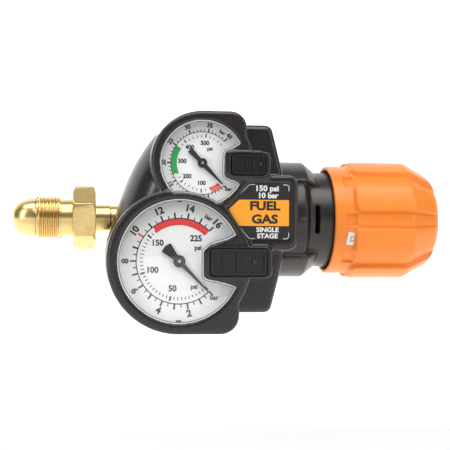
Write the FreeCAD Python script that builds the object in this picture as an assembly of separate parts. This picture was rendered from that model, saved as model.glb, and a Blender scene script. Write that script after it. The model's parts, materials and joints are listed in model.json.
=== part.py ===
"""Single-stage gas regulator: a brass in-line body with a left-hand inlet nut, a diaphragm valve, a load
spring under a bonnet, a lobed adjusting knob, and two Bourdon-tube gauges in one moulded cover.

Frame, in millimetres: +X runs along the common axis of inlet, body and knob, +Z is up, and the gauges
face -Y. The origin is the middle of the inlet thread.
"""

import math
import os

import FreeCAD
import Part

V = FreeCAD.Vector
X_AXIS = V(1, 0, 0)
Y_AXIS = V(0, 1, 0)
Z_AXIS = V(0, 0, 1)

# ---------------------------------------------------------------- driving dimensions
# Inlet: 0.885 in x 14 tpi left-hand male nut on a bullet-nosed gland
inlet_thread_r = 11.24
inlet_thread_pitch = 1.814
inlet_thread_turns = 7
inlet_hex_flats = 28.6
inlet_hex_width = 11.8
inlet_hex_turn = 5.0          # rest angle of the nut, degrees
inlet_neck_r = 9.6
inlet_neck_length = 6.0
nose_length = 11.0
nose_r = 9.9
nose_tip_r = 5.2
gland_r = 7.0
gland_bore_r = 3.2
gland_tail_r = 6.5
thread_start = -inlet_thread_pitch * ((inlet_thread_turns - 1) / 2.0 + 0.4)
thread_end = -thread_start
nut_end = thread_end + inlet_neck_length + inlet_hex_width

# Body: stations along X follow from its start and length
body_start = 41.0
body_length = 81.0
diaphragm_seat = body_start + body_length
inlet_boss_length = 5.0
barrel_start = body_start + inlet_boss_length
barrel_r = 23.0
flange_thickness = 14.0
flange_start = diaphragm_seat - flange_thickness
flange_r = 27.0
chamber_r = 21.0
chamber_depth = 7.0
nozzle_bore_r = 8.5
nozzle_length = 16.0
high_chamber_r = 7.0
high_chamber_length = 24.0
drill_r = 1.4

# Outlet and relief valve, both on the back of the body
outlet_back = 34.0            # from the diaphragm seat back to the outlet
outlet_x = diaphragm_seat - outlet_back
outlet_boss_r = 11.0
outlet_boss_height = 6.0
outlet_boss_end = barrel_r + outlet_boss_height
outlet_thread_r = 7.144       # 9/16 in x 18 tpi left-hand
outlet_thread_pitch = 1.411
outlet_thread_turns = 7
outlet_hex_flats = 17.5
relief_back = 60.0
relief_x = diaphragm_seat - relief_back
relief_boss_r = 8.0
relief_boss_height = 4.0
relief_boss_end = barrel_r + relief_boss_height

# Diaphragm, spring and adjusting screw
diaphragm_thickness = 1.0
slip_ring_thickness = 1.0
plate_thickness = 4.0
spring_wire_r = 2.2
spring_mean_r = 11.4
spring_turns = 5.5
spring_length = 31.0
button_thickness = 5.0
screw_r = 7.95
screw_pitch = 1.5
screw_travel = 6.0
ball_r = 2.5
bush_r = screw_r + 3.05
drive_flats = 11.0
ring_start = diaphragm_seat + diaphragm_thickness
bonnet_shoulder = ring_start + slip_ring_thickness
plate_end = ring_start + plate_thickness
button_start = plate_end + spring_length
button_end = button_start + button_thickness

# Bonnet
bonnet_r = 25.0
bonnet_wall = 4.0
end_wall = 2.0
bonnet_flange_wall = 0.9
bonnet_flange_r = flange_r + bonnet_flange_wall
ear_height = 2.5
bonnet_ear_r = bonnet_flange_r + ear_height
bonnet_ear_half_angle = 49.0
bonnet_skirt = 4.5
bonnet_start = diaphragm_seat - bonnet_skirt
bonnet_flange_end = diaphragm_seat + 8.0
ear_end = bonnet_flange_end + 1.5
slope_end = bonnet_flange_end + 8.3
vent_start = bonnet_flange_end + 5.2
vent_width = 2.0
vent_length = 14.4
bonnet_barrel_end = button_end + end_wall
bonnet_tower_r = 14.0
bonnet_tower_length = 13.0
tower_end = bonnet_barrel_end + bonnet_tower_length
bush_lip = 0.6

# Knob: it clears the bonnet's slope and tower when the screw is right in
knob_clearance = 0.4
knob_start = slope_end + screw_travel + knob_clearance
knob_wall = 2.1
knob_gap = 1.3
knob_skirt_r = bonnet_r + knob_gap + knob_wall
knob_lobe_r = knob_skirt_r + 2.6
hub_start = tower_end + bush_lip + screw_travel + knob_clearance + 1.0
hub_length = 11.0
hub_r = 10.5
hub_end = hub_start + hub_length
knob_end = hub_end + 7.4
knob_skirt_length = 9.8
knob_lobe_start = knob_start + knob_skirt_length
knob_lobes = 8
knob_lobe_half_angle = 13.5
knob_lobe_height = 2.3
knob_bevel_start = knob_end - 18.2
knob_bevel_end = knob_end - 3.1
knob_bevel_r = knob_lobe_r - 7.3

# Gauges: case radius and depth, and the centre of each in X and Z
back_of_gauges = -27.3
case_depth = 21.5
case_wall = 1.0
case_back = 1.2
dial_setback = 3.9            # from the case's front edge back to the dial
movement_depth = 16.4         # depth that the movement's levels are drawn for
delivery_case_r = 31.75       # 2 1/2 in gauge
inlet_case_r = 22.3
gauge_overlap = 5.53          # how far the two round cases would overlap
gauge_line_angle = 77.14      # from the large centre to the small one
cup_edge = 3.25
delivery_cup_r = delivery_case_r + cup_edge
cover_gap = 4.5324            # from the nut's end to the cover
delivery_x = nut_end + cover_gap + delivery_cup_r
delivery_z = -20.7
centre_distance = delivery_case_r + inlet_case_r - gauge_overlap
inlet_x = delivery_x + centre_distance * math.cos(math.radians(gauge_line_angle))
inlet_z = delivery_z + centre_distance * math.sin(math.radians(gauge_line_angle))
window_lip = 2.15
delivery_window_r = delivery_case_r - window_lip
inlet_window_r = inlet_case_r - window_lip + 0.15
tube_inset = 9.4
delivery_tube_r = delivery_case_r - tube_inset - 1.85
inlet_tube_r = inlet_case_r - tube_inset
pinion_teeth = 10
sector_teeth = 66
pointer_sweep = 270.0
pointer_rest = -46.0          # rest angle of both pointers from +X, degrees

# Cover: each tier's front face along Y, and the two cups' outer radii
lens_flange = 1.2
case_front = back_of_gauges - case_depth
lens_front = case_front - lens_flange
delivery_front = lens_front - 2.0
inlet_front = lens_front - 1.0
panel_front = lens_front
step_front = -38.0
shoulder_front = -30.0
cover_back = 0.0
wall = 2.4
inlet_cup_r = inlet_case_r + cup_edge - 0.55
case_clearance = 0.45

# Fits
running_gap = 0.05
slip_gap = 0.25
seat_gap = 0.1
gauge_gap = 0.6               # between the large case and the relieved side of the small one
plate_gap = 0.6

PARTS = {}


# ---------------------------------------------------------------- shape helpers
def cyl(radius, start, end, axis="x", at=(0.0, 0.0, 0.0)):
    """Cylinder of that radius from start to end along an axis through the point at."""
    direction = {"x": X_AXIS, "y": Y_AXIS, "z": Z_AXIS}[axis]
    base = V(*at) + direction * start
    return Part.makeCylinder(radius, end - start, base, direction)


def box(x0, x1, y0, y1, z0, z1):
    return Part.makeBox(x1 - x0, y1 - y0, z1 - z0, V(x0, y0, z0))


def turned(profile, axis="x", at=(0.0, 0.0, 0.0), angle=360.0):
    """Solid of revolution. The profile is a closed list of (station, radius) points along the axis."""
    if axis == "x":
        points = [V(s, r, 0) for s, r in profile]
        direction = X_AXIS
    elif axis == "y":
        points = [V(r, s, 0) for s, r in profile]
        direction = Y_AXIS
    else:
        points = [V(r, 0, s) for s, r in profile]
        direction = Z_AXIS
    face = Part.Face(Part.makePolygon(points + points[:1]))
    solid = face.revolve(V(0, 0, 0), direction, angle)
    solid.translate(V(*at))
    return solid


def fuse(first, *others):
    return first.multiFuse(list(others)).removeSplitter()


def hexagon(flats, start, end, axis="x", turn=0.0, at=(0.0, 0.0, 0.0)):
    """Hexagonal prism. With turn 0 a corner points along +Z, or along +X on the Y axis."""
    corner = flats / math.sqrt(3.0)
    angles = [math.radians(turn + 60.0 * i) for i in range(6)]
    if axis == "x":
        points = [V(start, corner * math.sin(a), corner * math.cos(a)) for a in angles]
        direction = X_AXIS
    else:
        points = [V(corner * math.cos(a), start, corner * math.sin(a)) for a in angles]
        direction = Y_AXIS
    prism = Part.Face(Part.makePolygon(points + points[:1])).extrude(direction * (end - start))
    prism.translate(V(*at))
    return prism


def chamfered_hexagon(flats, start, end, axis, turn=0.0, at=(0.0, 0.0, 0.0)):
    """Hexagonal prism whose corners are turned off at 30 degrees at both ends."""
    corner = flats / math.sqrt(3.0)
    edge = flats / 2.0 * 0.98
    drop = (corner - edge) * math.tan(math.radians(30.0))
    barrel = [(start, 0), (start, edge), (start + drop, corner + 0.01), (end - drop, corner + 0.01),
              (end, edge), (end, 0)]
    return hexagon(flats, start, end, axis, turn, at).common(turned(barrel, axis, at))


def thread_profile(start, radius, pitch, turns, side=1.0):
    """Points along the crests and roots of a 60-degree thread, from start in the direction of side."""
    depth = 0.613 * pitch
    crest = 0.2 * pitch
    root = 0.2 * pitch
    slope = (pitch - crest - root) / 2.0
    points = []
    for i in range(turns):
        s = start + side * pitch * i
        points += [(s, radius - depth), (s + side * slope, radius),
                   (s + side * (slope + crest), radius), (s + side * (2 * slope + crest), radius - depth)]
    return points


def rounded_outline(points, y, grow=0.0):
    """Face in the XZ plane at y, from (x, z, corner radius) points taken anticlockwise as the gauges show.

    Corners with a radius become tangent arcs. A grow below zero draws the outline in by that much.
    """
    count = len(points)
    moved = []
    for i in range(count):
        x, z, radius = points[i]
        px, pz, _ = points[i - 1]
        nx, nz, _ = points[(i + 1) % count]
        a = V(x - px, 0, z - pz).normalize()
        b = V(nx - x, 0, nz - z).normalize()
        out_a = V(a.z, 0, -a.x)
        out_b = V(b.z, 0, -b.x)
        scale = grow / (1.0 + out_a.dot(out_b))
        corner = V(x, y, z) + (out_a + out_b) * scale
        turn_left = a.x * b.z - a.z * b.x > 0
        grown = radius + grow if turn_left else radius - grow
        moved.append((corner, max(grown, 0.0), a, b))
    edges = []
    ends = []
    for corner, radius, a, b in moved:
        half = math.acos(max(-1.0, min(1.0, a.dot(b)))) / 2.0
        reach = radius * math.tan(half)
        if radius < 0.05:
            ends.append((corner, corner, None))
            continue
        first, last = corner - a * reach, corner + b * reach
        inward = (b - a).normalize()
        middle = corner + inward * (radius / math.cos(half) - radius)
        ends.append((first, last, middle))
    for i, (first, last, middle) in enumerate(ends):
        if middle is not None:
            edges.append(Part.Arc(first, middle, last).toShape())
        nxt = ends[(i + 1) % count][0]
        if (nxt - last).Length > 1e-6:
            edges.append(Part.LineSegment(last, nxt).toShape())
    return Part.Face(Part.Wire(edges))


def slab(points, front, back, grow=0.0):
    """Plate with a rounded outline, from its front face back along +Y."""
    return rounded_outline(points, front, grow).extrude(Y_AXIS * (back - front))


def soften_front(solid, y, radius):
    """Rounds the edges that lie in the plane at y."""
    edges = [e for e in solid.Edges if all(abs(v.Point.y - y) < 1e-4 for v in e.Vertexes)
             and abs(e.CenterOfMass.y - y) < 1e-4]
    return solid.makeFillet(radius, edges)


def coil(mean_r, wire_r, length, turns):
    """Helical spring along +X from the origin, its ends ground flat."""
    end = 0.55 * wire_r
    rise = length - 2 * end
    helix = Part.makeHelix(rise / turns, rise, mean_r)
    section = Part.Wire(Part.makeCircle(wire_r, V(mean_r, 0, 0), Y_AXIS))
    spring = Part.Wire(helix).makePipeShell([section], True, True)
    spring.translate(V(0, 0, end))
    spring.rotate(V(0, 0, 0), Y_AXIS, 90)
    keep = box(0.02, length - 0.02, -50, 50, -50, 50)
    return spring.common(keep)


def put(name, shape):
    if shape.ShapeType == "Compound" and len(shape.Solids) == 1:
        shape = shape.Solids[0]
    PARTS[name] = shape


# ---------------------------------------------------------------- inlet
nut_bore_r = gland_r + slip_gap
gland_end = body_start + 15.0


def inlet_gland():
    """Tail pipe with the bullet nose that seals in the cylinder valve."""
    shoulder = thread_start - seat_gap - 0.4
    tip = shoulder - nose_length
    crown = V((tip + shoulder) / 2.0, nose_r * 0.86, 0)
    bottom = [V(shoulder, nose_r, 0), V(shoulder, gland_r, 0), V(nut_end + 7.3, gland_r, 0),
              V(nut_end + 7.8, gland_r - 0.3, 0),
              V(body_start, gland_r - 0.3, 0), V(body_start, gland_tail_r, 0), V(gland_end, gland_tail_r, 0),
              V(gland_end, gland_bore_r, 0), V(tip + 1.0, gland_bore_r, 0), V(tip, gland_bore_r + 0.8, 0),
              V(tip, nose_tip_r, 0)]
    edges = [Part.Arc(V(tip, nose_tip_r, 0), crown, V(shoulder - 1.2, nose_r, 0)).toShape(),
             Part.LineSegment(V(shoulder - 1.2, nose_r, 0), bottom[0]).toShape()]
    edges += [Part.LineSegment(a, b).toShape() for a, b in zip(bottom, bottom[1:])]
    return Part.Face(Part.Wire(edges)).revolve(V(0, 0, 0), X_AXIS, 360)


def inlet_nut():
    """Left-hand nut that turns freely on the gland; its thread is cut as annular ridges of the real form."""
    outside = [(thread_start, nut_bore_r + 0.6), (thread_start, inlet_thread_r - 1.112)]
    outside += thread_profile(thread_start, inlet_thread_r, inlet_thread_pitch, inlet_thread_turns)
    outside += [(thread_end, inlet_neck_r), (thread_end + inlet_neck_length + 0.5, inlet_neck_r),
                (thread_end + inlet_neck_length + 0.5, nut_bore_r), (thread_start + 0.6, nut_bore_r)]
    hexa = chamfered_hexagon(inlet_hex_flats, thread_end + inlet_neck_length, nut_end, "x", inlet_hex_turn)
    hexa = hexa.cut(cyl(nut_bore_r, thread_end, nut_end + 1))
    return fuse(turned(outside), hexa)


def inlet_filter():
    """Sintered bronze cup in the pocket behind the gland."""
    cup = turned([(gland_end + 0.3, 4.9), (gland_end + 9.5, 4.9), (gland_end + 9.5, 0), (gland_end + 8.0, 0),
                  (gland_end + 8.0, 3.0), (gland_end + 0.3, 3.0)])
    return cup


put("inlet_gland", inlet_gland())
put("inlet_nut", inlet_nut())
put("inlet_filter", inlet_filter())

# ---------------------------------------------------------------- body
chamber_floor = diaphragm_seat - chamber_depth
nozzle_start = chamber_floor - nozzle_length - 1.0
high_start = nozzle_start - high_chamber_length
port_r = 5.0
port_depth = 12.0
boss_face = back_of_gauges + 3.3
boss_r = 9.5
boss_back = cover_back - 2.6 - plate_gap
guide_seat_r = 6.0
filter_web = 1.5
upper_drill = V(inlet_x - 2.0, -5.0, 0)
side_drill_y = 14.5
low_drill = V(0, -5.0, 2.5 - chamber_r)


def body_casting():
    """Brass body: barrel, diaphragm flange, gauge bosses in front, outlet and relief bosses behind."""
    neck = max(flange_start - 0.75 * (flange_r - barrel_r), barrel_start + 2.0)
    barrel = turned([(barrel_start, 0), (barrel_start, barrel_r - 1.5), (barrel_start + 1.5, barrel_r),
                     (neck, barrel_r), (flange_start, flange_r), (diaphragm_seat, flange_r),
                     (diaphragm_seat, 0)])
    inlet_boss = chamfered_hexagon(22.2, body_start, barrel_start + 1, "x", 30)
    inlet_gauge_boss = cyl(boss_r, boss_face, boss_back, "y", (inlet_x, 0, inlet_z))
    delivery_gauge_boss = cyl(boss_r, boss_face, boss_back, "y", (delivery_x, 0, delivery_z))
    web = box(inlet_x - 8, inlet_x + 8, -15, boss_back, 10, inlet_z)
    outlet_boss = cyl(outlet_boss_r, 0, outlet_boss_end, "y", (outlet_x, 0, 0))
    outlet_boss = outlet_boss.makeFillet(1.0, [outlet_boss.Edges[0]])
    relief_boss = cyl(relief_boss_r, 0, relief_boss_end, "y", (relief_x, 0, 0))
    relief_boss = relief_boss.makeFillet(0.8, [relief_boss.Edges[0]])
    solid = fuse(barrel, inlet_boss, inlet_gauge_boss, delivery_gauge_boss, web, outlet_boss, relief_boss)
    cavities = [
        cyl(gland_tail_r, body_start - 1, gland_end),
        cyl(5.0, gland_end, gland_end + 10),
        cyl(2.5, gland_end + 9, gland_end + 12),
        cyl(guide_seat_r, gland_end + 10 + filter_web, high_start),
        cyl(high_chamber_r, high_start, nozzle_start),
        cyl(nozzle_bore_r, nozzle_start, chamber_floor),
        cyl(chamber_r, chamber_floor, diaphragm_seat + 1),
        cyl(port_r, boss_face - 1, boss_face + port_depth, "y", (inlet_x, 0, inlet_z)),
        cyl(2.0, boss_face, upper_drill.y, "y", (inlet_x, 0, inlet_z)),
        cyl(drill_r, 0, inlet_z, "z", upper_drill),
        cyl(port_r, boss_face - 1, boss_face + port_depth, "y", (delivery_x, 0, delivery_z)),
        cyl(3.0, boss_face, low_drill.y, "y", (delivery_x, 0, delivery_z)),
        cyl(drill_r, delivery_x, chamber_floor + 1, "x", (0, low_drill.y, low_drill.z)),
        cyl(6.5, outlet_boss_end - 12, outlet_boss_end + 1, "y", (outlet_x, 0, 0)),
        cyl(3.0, side_drill_y, outlet_boss_end, "y", (outlet_x, 0, 0)),
        cyl(2.2, relief_x, chamber_floor + 1, "x", (0, side_drill_y, 0)),
        cyl(1.6, side_drill_y, relief_boss_end, "y", (relief_x, 0, 0)),
        cyl(5.0, relief_boss_end - 9.5, relief_boss_end + 1, "y", (relief_x, 0, 0)),
    ]
    return solid.cut(cavities[0].multiFuse(cavities[1:]))


def outlet_fitting():
    """Left-hand male hose connection with a conical seat."""
    y0 = outlet_boss_end - 11.6
    hex_start = outlet_boss_end + 0.2
    hex_end = hex_start + 6.6
    relief_end = hex_end + 1.6
    thread = thread_profile(relief_end, outlet_thread_r, outlet_thread_pitch, outlet_thread_turns)
    end = thread[-1][0] + 0.6
    root = thread[0][1]
    profile = [(y0, 3.0), (y0, 6.0), (y0 + 0.5, 6.45), (hex_start + 0.1, 6.45), (hex_start + 0.1, 7.9),
               (hex_end - 0.1, 7.9), (hex_end - 0.1, root - 0.1), (relief_end, root - 0.1)]
    profile += thread
    profile += [(end, root), (end, 4.9), (end - 3.3, 3.0)]
    hexa = chamfered_hexagon(outlet_hex_flats, hex_start, hex_end, "y", 30)
    hexa = hexa.cut(cyl(5.0, y0, end, "y"))
    fitting = fuse(turned(profile, "y"), hexa)
    fitting.translate(V(outlet_x, 0, 0))
    return fitting


def relief_parts():
    """Poppet, spring and vented cap of the relief valve."""
    at = (relief_x, 0, 0)
    floor = relief_boss_end - 9.5
    poppet = turned([(floor + 0.05, 0), (floor + 0.05, 4.2), (floor + 2.6, 4.2), (floor + 2.6, 1.6),
                     (floor + 5.5, 1.6), (floor + 5.5, 0)], "y", at)
    cap_floor = relief_boss_end + 1.0
    cap = turned([(relief_boss_end - 3.0, 3.6), (relief_boss_end - 3.0, 4.95), (relief_boss_end, 4.95),
                  (relief_boss_end, 6.4), (relief_boss_end + 4.4, 6.4), (relief_boss_end + 5.0, 5.8),
                  (relief_boss_end + 5.0, 0), (cap_floor, 0), (cap_floor, 3.6)], "y", at)
    flats = hexagon(11.6, relief_boss_end - 4, relief_boss_end + 6, "y", 0, at)
    cap = cap.common(fuse(flats, cyl(5.2, relief_boss_end - 4, relief_boss_end, "y", at)))
    vents = [cyl(0.8, cap_floor, relief_boss_end + 6, "y",
                 (relief_x + 3.4 * math.cos(a), 0, 3.4 * math.sin(a)))
             for a in (math.radians(90 * i) for i in range(4))]
    cap = cap.cut(vents[0].multiFuse(vents[1:]))
    spring = coil(2.6, 0.4, cap_floor - floor - 2.6, 4.5)
    spring.rotate(V(0, 0, 0), Z_AXIS, 90)
    spring.translate(V(relief_x, floor + 2.6, 0))
    put("relief_poppet", poppet)
    put("relief_cap", cap)
    put("relief_spring", spring)


put("body_casting", body_casting())
put("outlet_fitting", outlet_fitting())
relief_parts()

# ---------------------------------------------------------------- valve
seat_lip = nozzle_start - 1.6
pin_end = diaphragm_seat - 1.0
poppet_back = seat_lip - 6.0
guide_end = high_start + 4.0


def valve_nozzle():
    """Screwed-in nozzle with the raised seat lip on its high-pressure side."""
    profile = [(seat_lip, 2.2), (seat_lip, 3.0), (nozzle_start, 4.2), (nozzle_start, nozzle_bore_r - 0.05),
               (chamber_floor - 1.0, nozzle_bore_r - 0.05), (chamber_floor - 1.0, 6.0),
               (chamber_floor + 1.0, 6.0), (chamber_floor + 1.0, 2.2)]
    nozzle = turned(profile)
    slot = box(chamber_floor - 0.6, chamber_floor + 2, -7, 7, -0.8, 0.8)
    return nozzle.cut(slot)


def valve_poppet():
    """Plug with the pin that the diaphragm pushes and a guide stem behind."""
    profile = [(guide_end - 1.0, 0), (guide_end - 1.0, 2.0), (poppet_back, 2.0), (poppet_back, 4.2),
               (seat_lip - 0.1, 4.2), (seat_lip - 0.1, 3.8), (seat_lip - 1.9, 3.8), (seat_lip - 1.9, 1.2),
               (pin_end, 1.2), (pin_end, 0)]
    return turned(profile)


def valve_seat():
    """Soft sealing ring let into the poppet."""
    return turned([(seat_lip - 1.88, 1.25), (seat_lip - 1.88, 3.75), (seat_lip - 0.02, 3.75),
                   (seat_lip - 0.02, 1.25)])


def valve_guide():
    """Drilled disc that guides the poppet's stem and carries its spring."""
    disc = turned([(high_start + 0.05, 2.1), (high_start + 0.05, 6.95), (guide_end, 6.95), (guide_end, 2.1)])
    holes = [cyl(0.9, high_start - 1, guide_end + 1, "x", (0, 5.2 * math.cos(a), 5.2 * math.sin(a)))
             for a in (math.radians(60 * i) for i in range(6))]
    return disc.cut(holes[0].multiFuse(holes[1:]))


valve_spring = coil(3.1, 0.4, poppet_back - guide_end, 6.5)
valve_spring.translate(V(guide_end, 0, 0))
put("valve_nozzle", valve_nozzle())
put("valve_poppet", valve_poppet())
put("valve_seat", valve_seat())
put("valve_guide", valve_guide())
put("valve_spring", valve_spring)

# ---------------------------------------------------------------- diaphragm and load spring
screw_tip = button_end + 1.6
ball_x = (button_end + screw_tip) / 2.0


def diaphragm():
    return turned([(diaphragm_seat, 3.1), (diaphragm_seat, flange_r - 0.3), (ring_start, flange_r - 0.3),
                   (ring_start, 3.1)])


def diaphragm_plate():
    """Back plate with the hub that bears on the valve pin and the spigot that centres the load spring."""
    rim = chamber_r - 4.0
    spigot = spring_mean_r - spring_wire_r - 1.0
    return turned([(pin_end + 0.05, 0), (pin_end + 0.05, 5.0), (diaphragm_seat - 0.05, 5.0),
                   (diaphragm_seat - 0.05, 3.0), (ring_start + 0.05, 3.0), (ring_start + 0.05, rim),
                   (plate_end - 1.8, rim), (plate_end - 1.0, rim - 2.0), (plate_end, rim - 2.0),
                   (plate_end, spigot), (plate_end + 2.6, spigot - 0.6), (plate_end + 2.6, 0)])


def slip_ring():
    return turned([(ring_start, chamber_r), (ring_start, flange_r - 0.3), (bonnet_shoulder, flange_r - 0.3),
                   (bonnet_shoulder, chamber_r)])


def spring_button():
    """Upper spring seat, with a pocket for the thrust ball."""
    spigot = spring_mean_r - spring_wire_r - 1.0
    rim = spring_mean_r + spring_wire_r + 0.2
    button = turned([(button_start - 2.6, 0), (button_start - 2.6, spigot - 0.6), (button_start, spigot),
                     (button_start, rim), (button_start + 2.6, rim), (button_end, screw_r + 1.05),
                     (button_end, 0)])
    return button.cut(Part.makeSphere(ball_r + 0.03, V(ball_x, 0, 0)))


def adjusting_screw():
    """Screw with a ball pocket in its tip and a hexagonal drive for the knob's hub."""
    turns = int((hub_start - screw_tip - 2.0) / screw_pitch)
    thread = thread_profile(screw_tip + 1.0, screw_r, screw_pitch, turns)
    profile = [(screw_tip, 0), (screw_tip, screw_r - 2.0), (screw_tip + 1.0, thread[0][1])] + thread
    profile += [(thread[-1][0] + 0.3, screw_r - 1.35), (hub_start, screw_r - 1.35), (hub_start, 0)]
    shank = turned(profile)
    drive = hexagon(drive_flats, hub_start - 0.5, hub_end - 0.6, "x", 0)
    screw = fuse(shank, drive)
    screw = screw.cut(cyl(2.0, hub_start - 4.0, hub_end + 1))
    return screw.cut(Part.makeSphere(ball_r + 0.03, V(ball_x, 0, 0)))


load_spring = coil(spring_mean_r, spring_wire_r, spring_length, spring_turns)
load_spring.translate(V(plate_end, 0, 0))
put("diaphragm", diaphragm())
put("diaphragm_plate", diaphragm_plate())
put("slip_ring", slip_ring())
put("load_spring", load_spring)
put("spring_button", spring_button())
put("thrust_ball", Part.makeSphere(ball_r, V(ball_x, 0, 0)))
put("adjusting_screw", adjusting_screw())


# ---------------------------------------------------------------- bonnet
def sector_prism(half_angle, middle, radius, start, end):
    """Wedge of a round bar along X, middle measured from -Y towards +Z, in degrees."""
    steps = 8
    points = [V(start, 0, 0)]
    for i in range(steps + 1):
        a = math.radians(middle - half_angle + 2.0 * half_angle * i / steps)
        reach = radius / math.cos(math.radians(half_angle / steps))
        points.append(V(start, -reach * math.cos(a), reach * math.sin(a)))
    return Part.Face(Part.makePolygon(points + points[:1])).extrude(X_AXIS * (end - start))


def bonnet():
    """Spring housing: two raised ears above and below, plain wrench faces between them, vent slots."""
    core = [(bonnet_start, 0), (bonnet_start, bonnet_flange_r - 0.6), (bonnet_start + 0.6, bonnet_flange_r),
            (bonnet_flange_end, bonnet_flange_r), (bonnet_flange_end + 2.9, bonnet_r),
            (bonnet_barrel_end - 2.0, bonnet_r), (bonnet_barrel_end, bonnet_r - 2.0),
            (bonnet_barrel_end, bonnet_tower_r), (tower_end - 0.8, bonnet_tower_r),
            (tower_end, bonnet_tower_r - 0.8), (tower_end, 0)]
    ear = [(bonnet_start, 0), (bonnet_start, bonnet_ear_r - 1.0), (bonnet_start + 1.0, bonnet_ear_r),
           (ear_end, bonnet_ear_r), (slope_end, bonnet_r), (slope_end, 0)]
    reach = bonnet_ear_r + 10.0
    ears = [turned(ear).common(sector_prism(bonnet_ear_half_angle, middle, reach, bonnet_start, slope_end + 1))
            for middle in (90.0, -90.0)]
    shell = fuse(turned(core), *ears)
    hollow = [cyl(flange_r + 0.1, bonnet_start - 1, bonnet_shoulder),
              cyl(bonnet_r - bonnet_wall, bonnet_shoulder - 0.1, bonnet_barrel_end - end_wall),
              cyl(bush_r, bonnet_barrel_end - end_wall - 1.0, tower_end + 1)]
    shell = shell.cut(hollow[0].multiFuse(hollow[1:]))
    vent_end = vent_start + vent_width
    half = vent_length / 2.0
    vents = [box(vent_start, vent_end, -bonnet_r - 1, -10, -half, half),
             box(vent_start, vent_end, 10, bonnet_r + 1, -half, half)]
    marks = [box(bonnet_flange_end - 3.0, bonnet_flange_end, side * bonnet_flange_r - 0.5,
                 side * bonnet_flange_r + 0.5, -0.6, 0.6) for side in (-1, 1)]
    return shell.cut(vents[0].multiFuse(vents[1:] + marks))


def bonnet_bush():
    """Threaded brass bush that carries the adjusting screw."""
    start = bonnet_barrel_end - 0.4
    end = tower_end + bush_lip
    bore = screw_r + running_gap
    return turned([(start, bore), (start, bush_r - 0.05), (tower_end, bush_r - 0.05), (tower_end, bush_r + 1.4),
                   (end, bush_r + 1.0), (end, bore)])


put("bonnet", bonnet())
put("bonnet_bush", bonnet_bush())


# ---------------------------------------------------------------- knob
def knob_profile(drop):
    """Outer generator of the knob's grip, lowered by drop towards the axis."""
    return [(knob_lobe_start, 0), (knob_lobe_start, knob_lobe_r - 1.6 - drop),
            (knob_lobe_start + 2.2, knob_lobe_r - drop), (knob_bevel_start, knob_lobe_r - 0.2 - drop),
            (knob_bevel_start + 4.5, knob_lobe_r - 1.6 - drop), (knob_bevel_end - 1.5, knob_bevel_r + 0.7 - drop),
            (knob_bevel_end + 1.0, knob_bevel_r - 3.6 - drop), (knob_end - 0.4, knob_bevel_r - 8.2 - drop),
            (knob_end, knob_bevel_r - 9.7 - drop), (knob_end, 0)]


def adjusting_knob():
    """Hollow knob: plain skirt, raised lobes and a boss that grips the hub."""
    inner = turned(knob_profile(knob_lobe_height))
    lobed = turned(knob_profile(0.0))
    step = 360.0 / knob_lobes
    wedges = [sector_prism(knob_lobe_half_angle, step * (i + 0.5), knob_lobe_r + 9.0, knob_start, knob_end + 1)
              for i in range(knob_lobes)]
    lobes = [lobed.common(w) for w in wedges]
    skirt = turned([(knob_start, 0), (knob_start, knob_skirt_r - 0.7), (knob_start + 0.7, knob_skirt_r),
                    (knob_lobe_start + 1.5, knob_skirt_r), (knob_lobe_start + 1.5, 0)])
    knob = fuse(inner, skirt, *lobes)
    cavity_r = knob_skirt_r - knob_wall
    boss = hub_r + 3.5
    hollow = turned([(knob_start - 1, 0), (knob_start - 1, cavity_r + 0.6), (knob_start + 0.8, cavity_r),
                     (hub_start - 6.0, cavity_r), (hub_start - 1.0, cavity_r - 3.0), (hub_start + 8.0, boss + 3.0),
                     (hub_start + 8.0, boss), (hub_start - 1.0, boss), (hub_start - 1.0, 0)])
    knob = knob.cut(hollow)
    bores = [cyl(hub_r + 0.05, hub_start - 2, hub_end), cyl(2.3, hub_end - 1, knob_end + 1),
             cyl(7.0, hub_end + 1.6, knob_end + 1), cyl(9.05, knob_end - 1.4, knob_end + 1)]
    return knob.cut(bores[0].multiFuse(bores[1:]))


def knob_hub():
    """Knurled insert with a hexagonal socket."""
    hub = cyl(hub_r, hub_start, hub_end - 0.1)
    hub = hub.cut(hexagon(drive_flats + 0.15, hub_start - 1, hub_end + 1, "x", 0))
    ring = hub_r + 0.2
    grooves = [cyl(0.7, hub_start + 1.5, hub_end - 1.5, "x", (0, ring * math.cos(a), ring * math.sin(a)))
               for a in (math.radians(20 * i) for i in range(18))]
    return hub.cut(grooves[0].multiFuse(grooves[1:]))


def knob_screw():
    """Socket-head screw that holds the knob on the adjusting screw."""
    head = hub_end + 1.65
    screw = turned([(hub_start - 3.0, 0), (hub_start - 3.0, 1.95), (head, 1.95), (head, 4.4), (head + 3.0, 4.4),
                    (head + 3.4, 4.0), (head + 3.4, 0)])
    return screw.cut(hexagon(3.6, head + 1.2, head + 4, "x", 0))


def knob_cap():
    """Snap-in end cap, slightly domed."""
    start = knob_end - 1.35
    disc = turned([(start, 0), (start, 9.0), (knob_end + 0.5, 9.0), (knob_end + 1.1, 8.2), (knob_end + 1.3, 0)])
    spigot = turned([(start - 1.2, 6.0), (start - 1.2, 6.95), (start + 0.5, 6.95), (start + 0.5, 6.0)])
    return fuse(disc, spigot)


put("adjusting_knob", adjusting_knob())
put("knob_hub", knob_hub())
put("knob_screw", knob_screw())
put("knob_cap", knob_cap())

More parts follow.
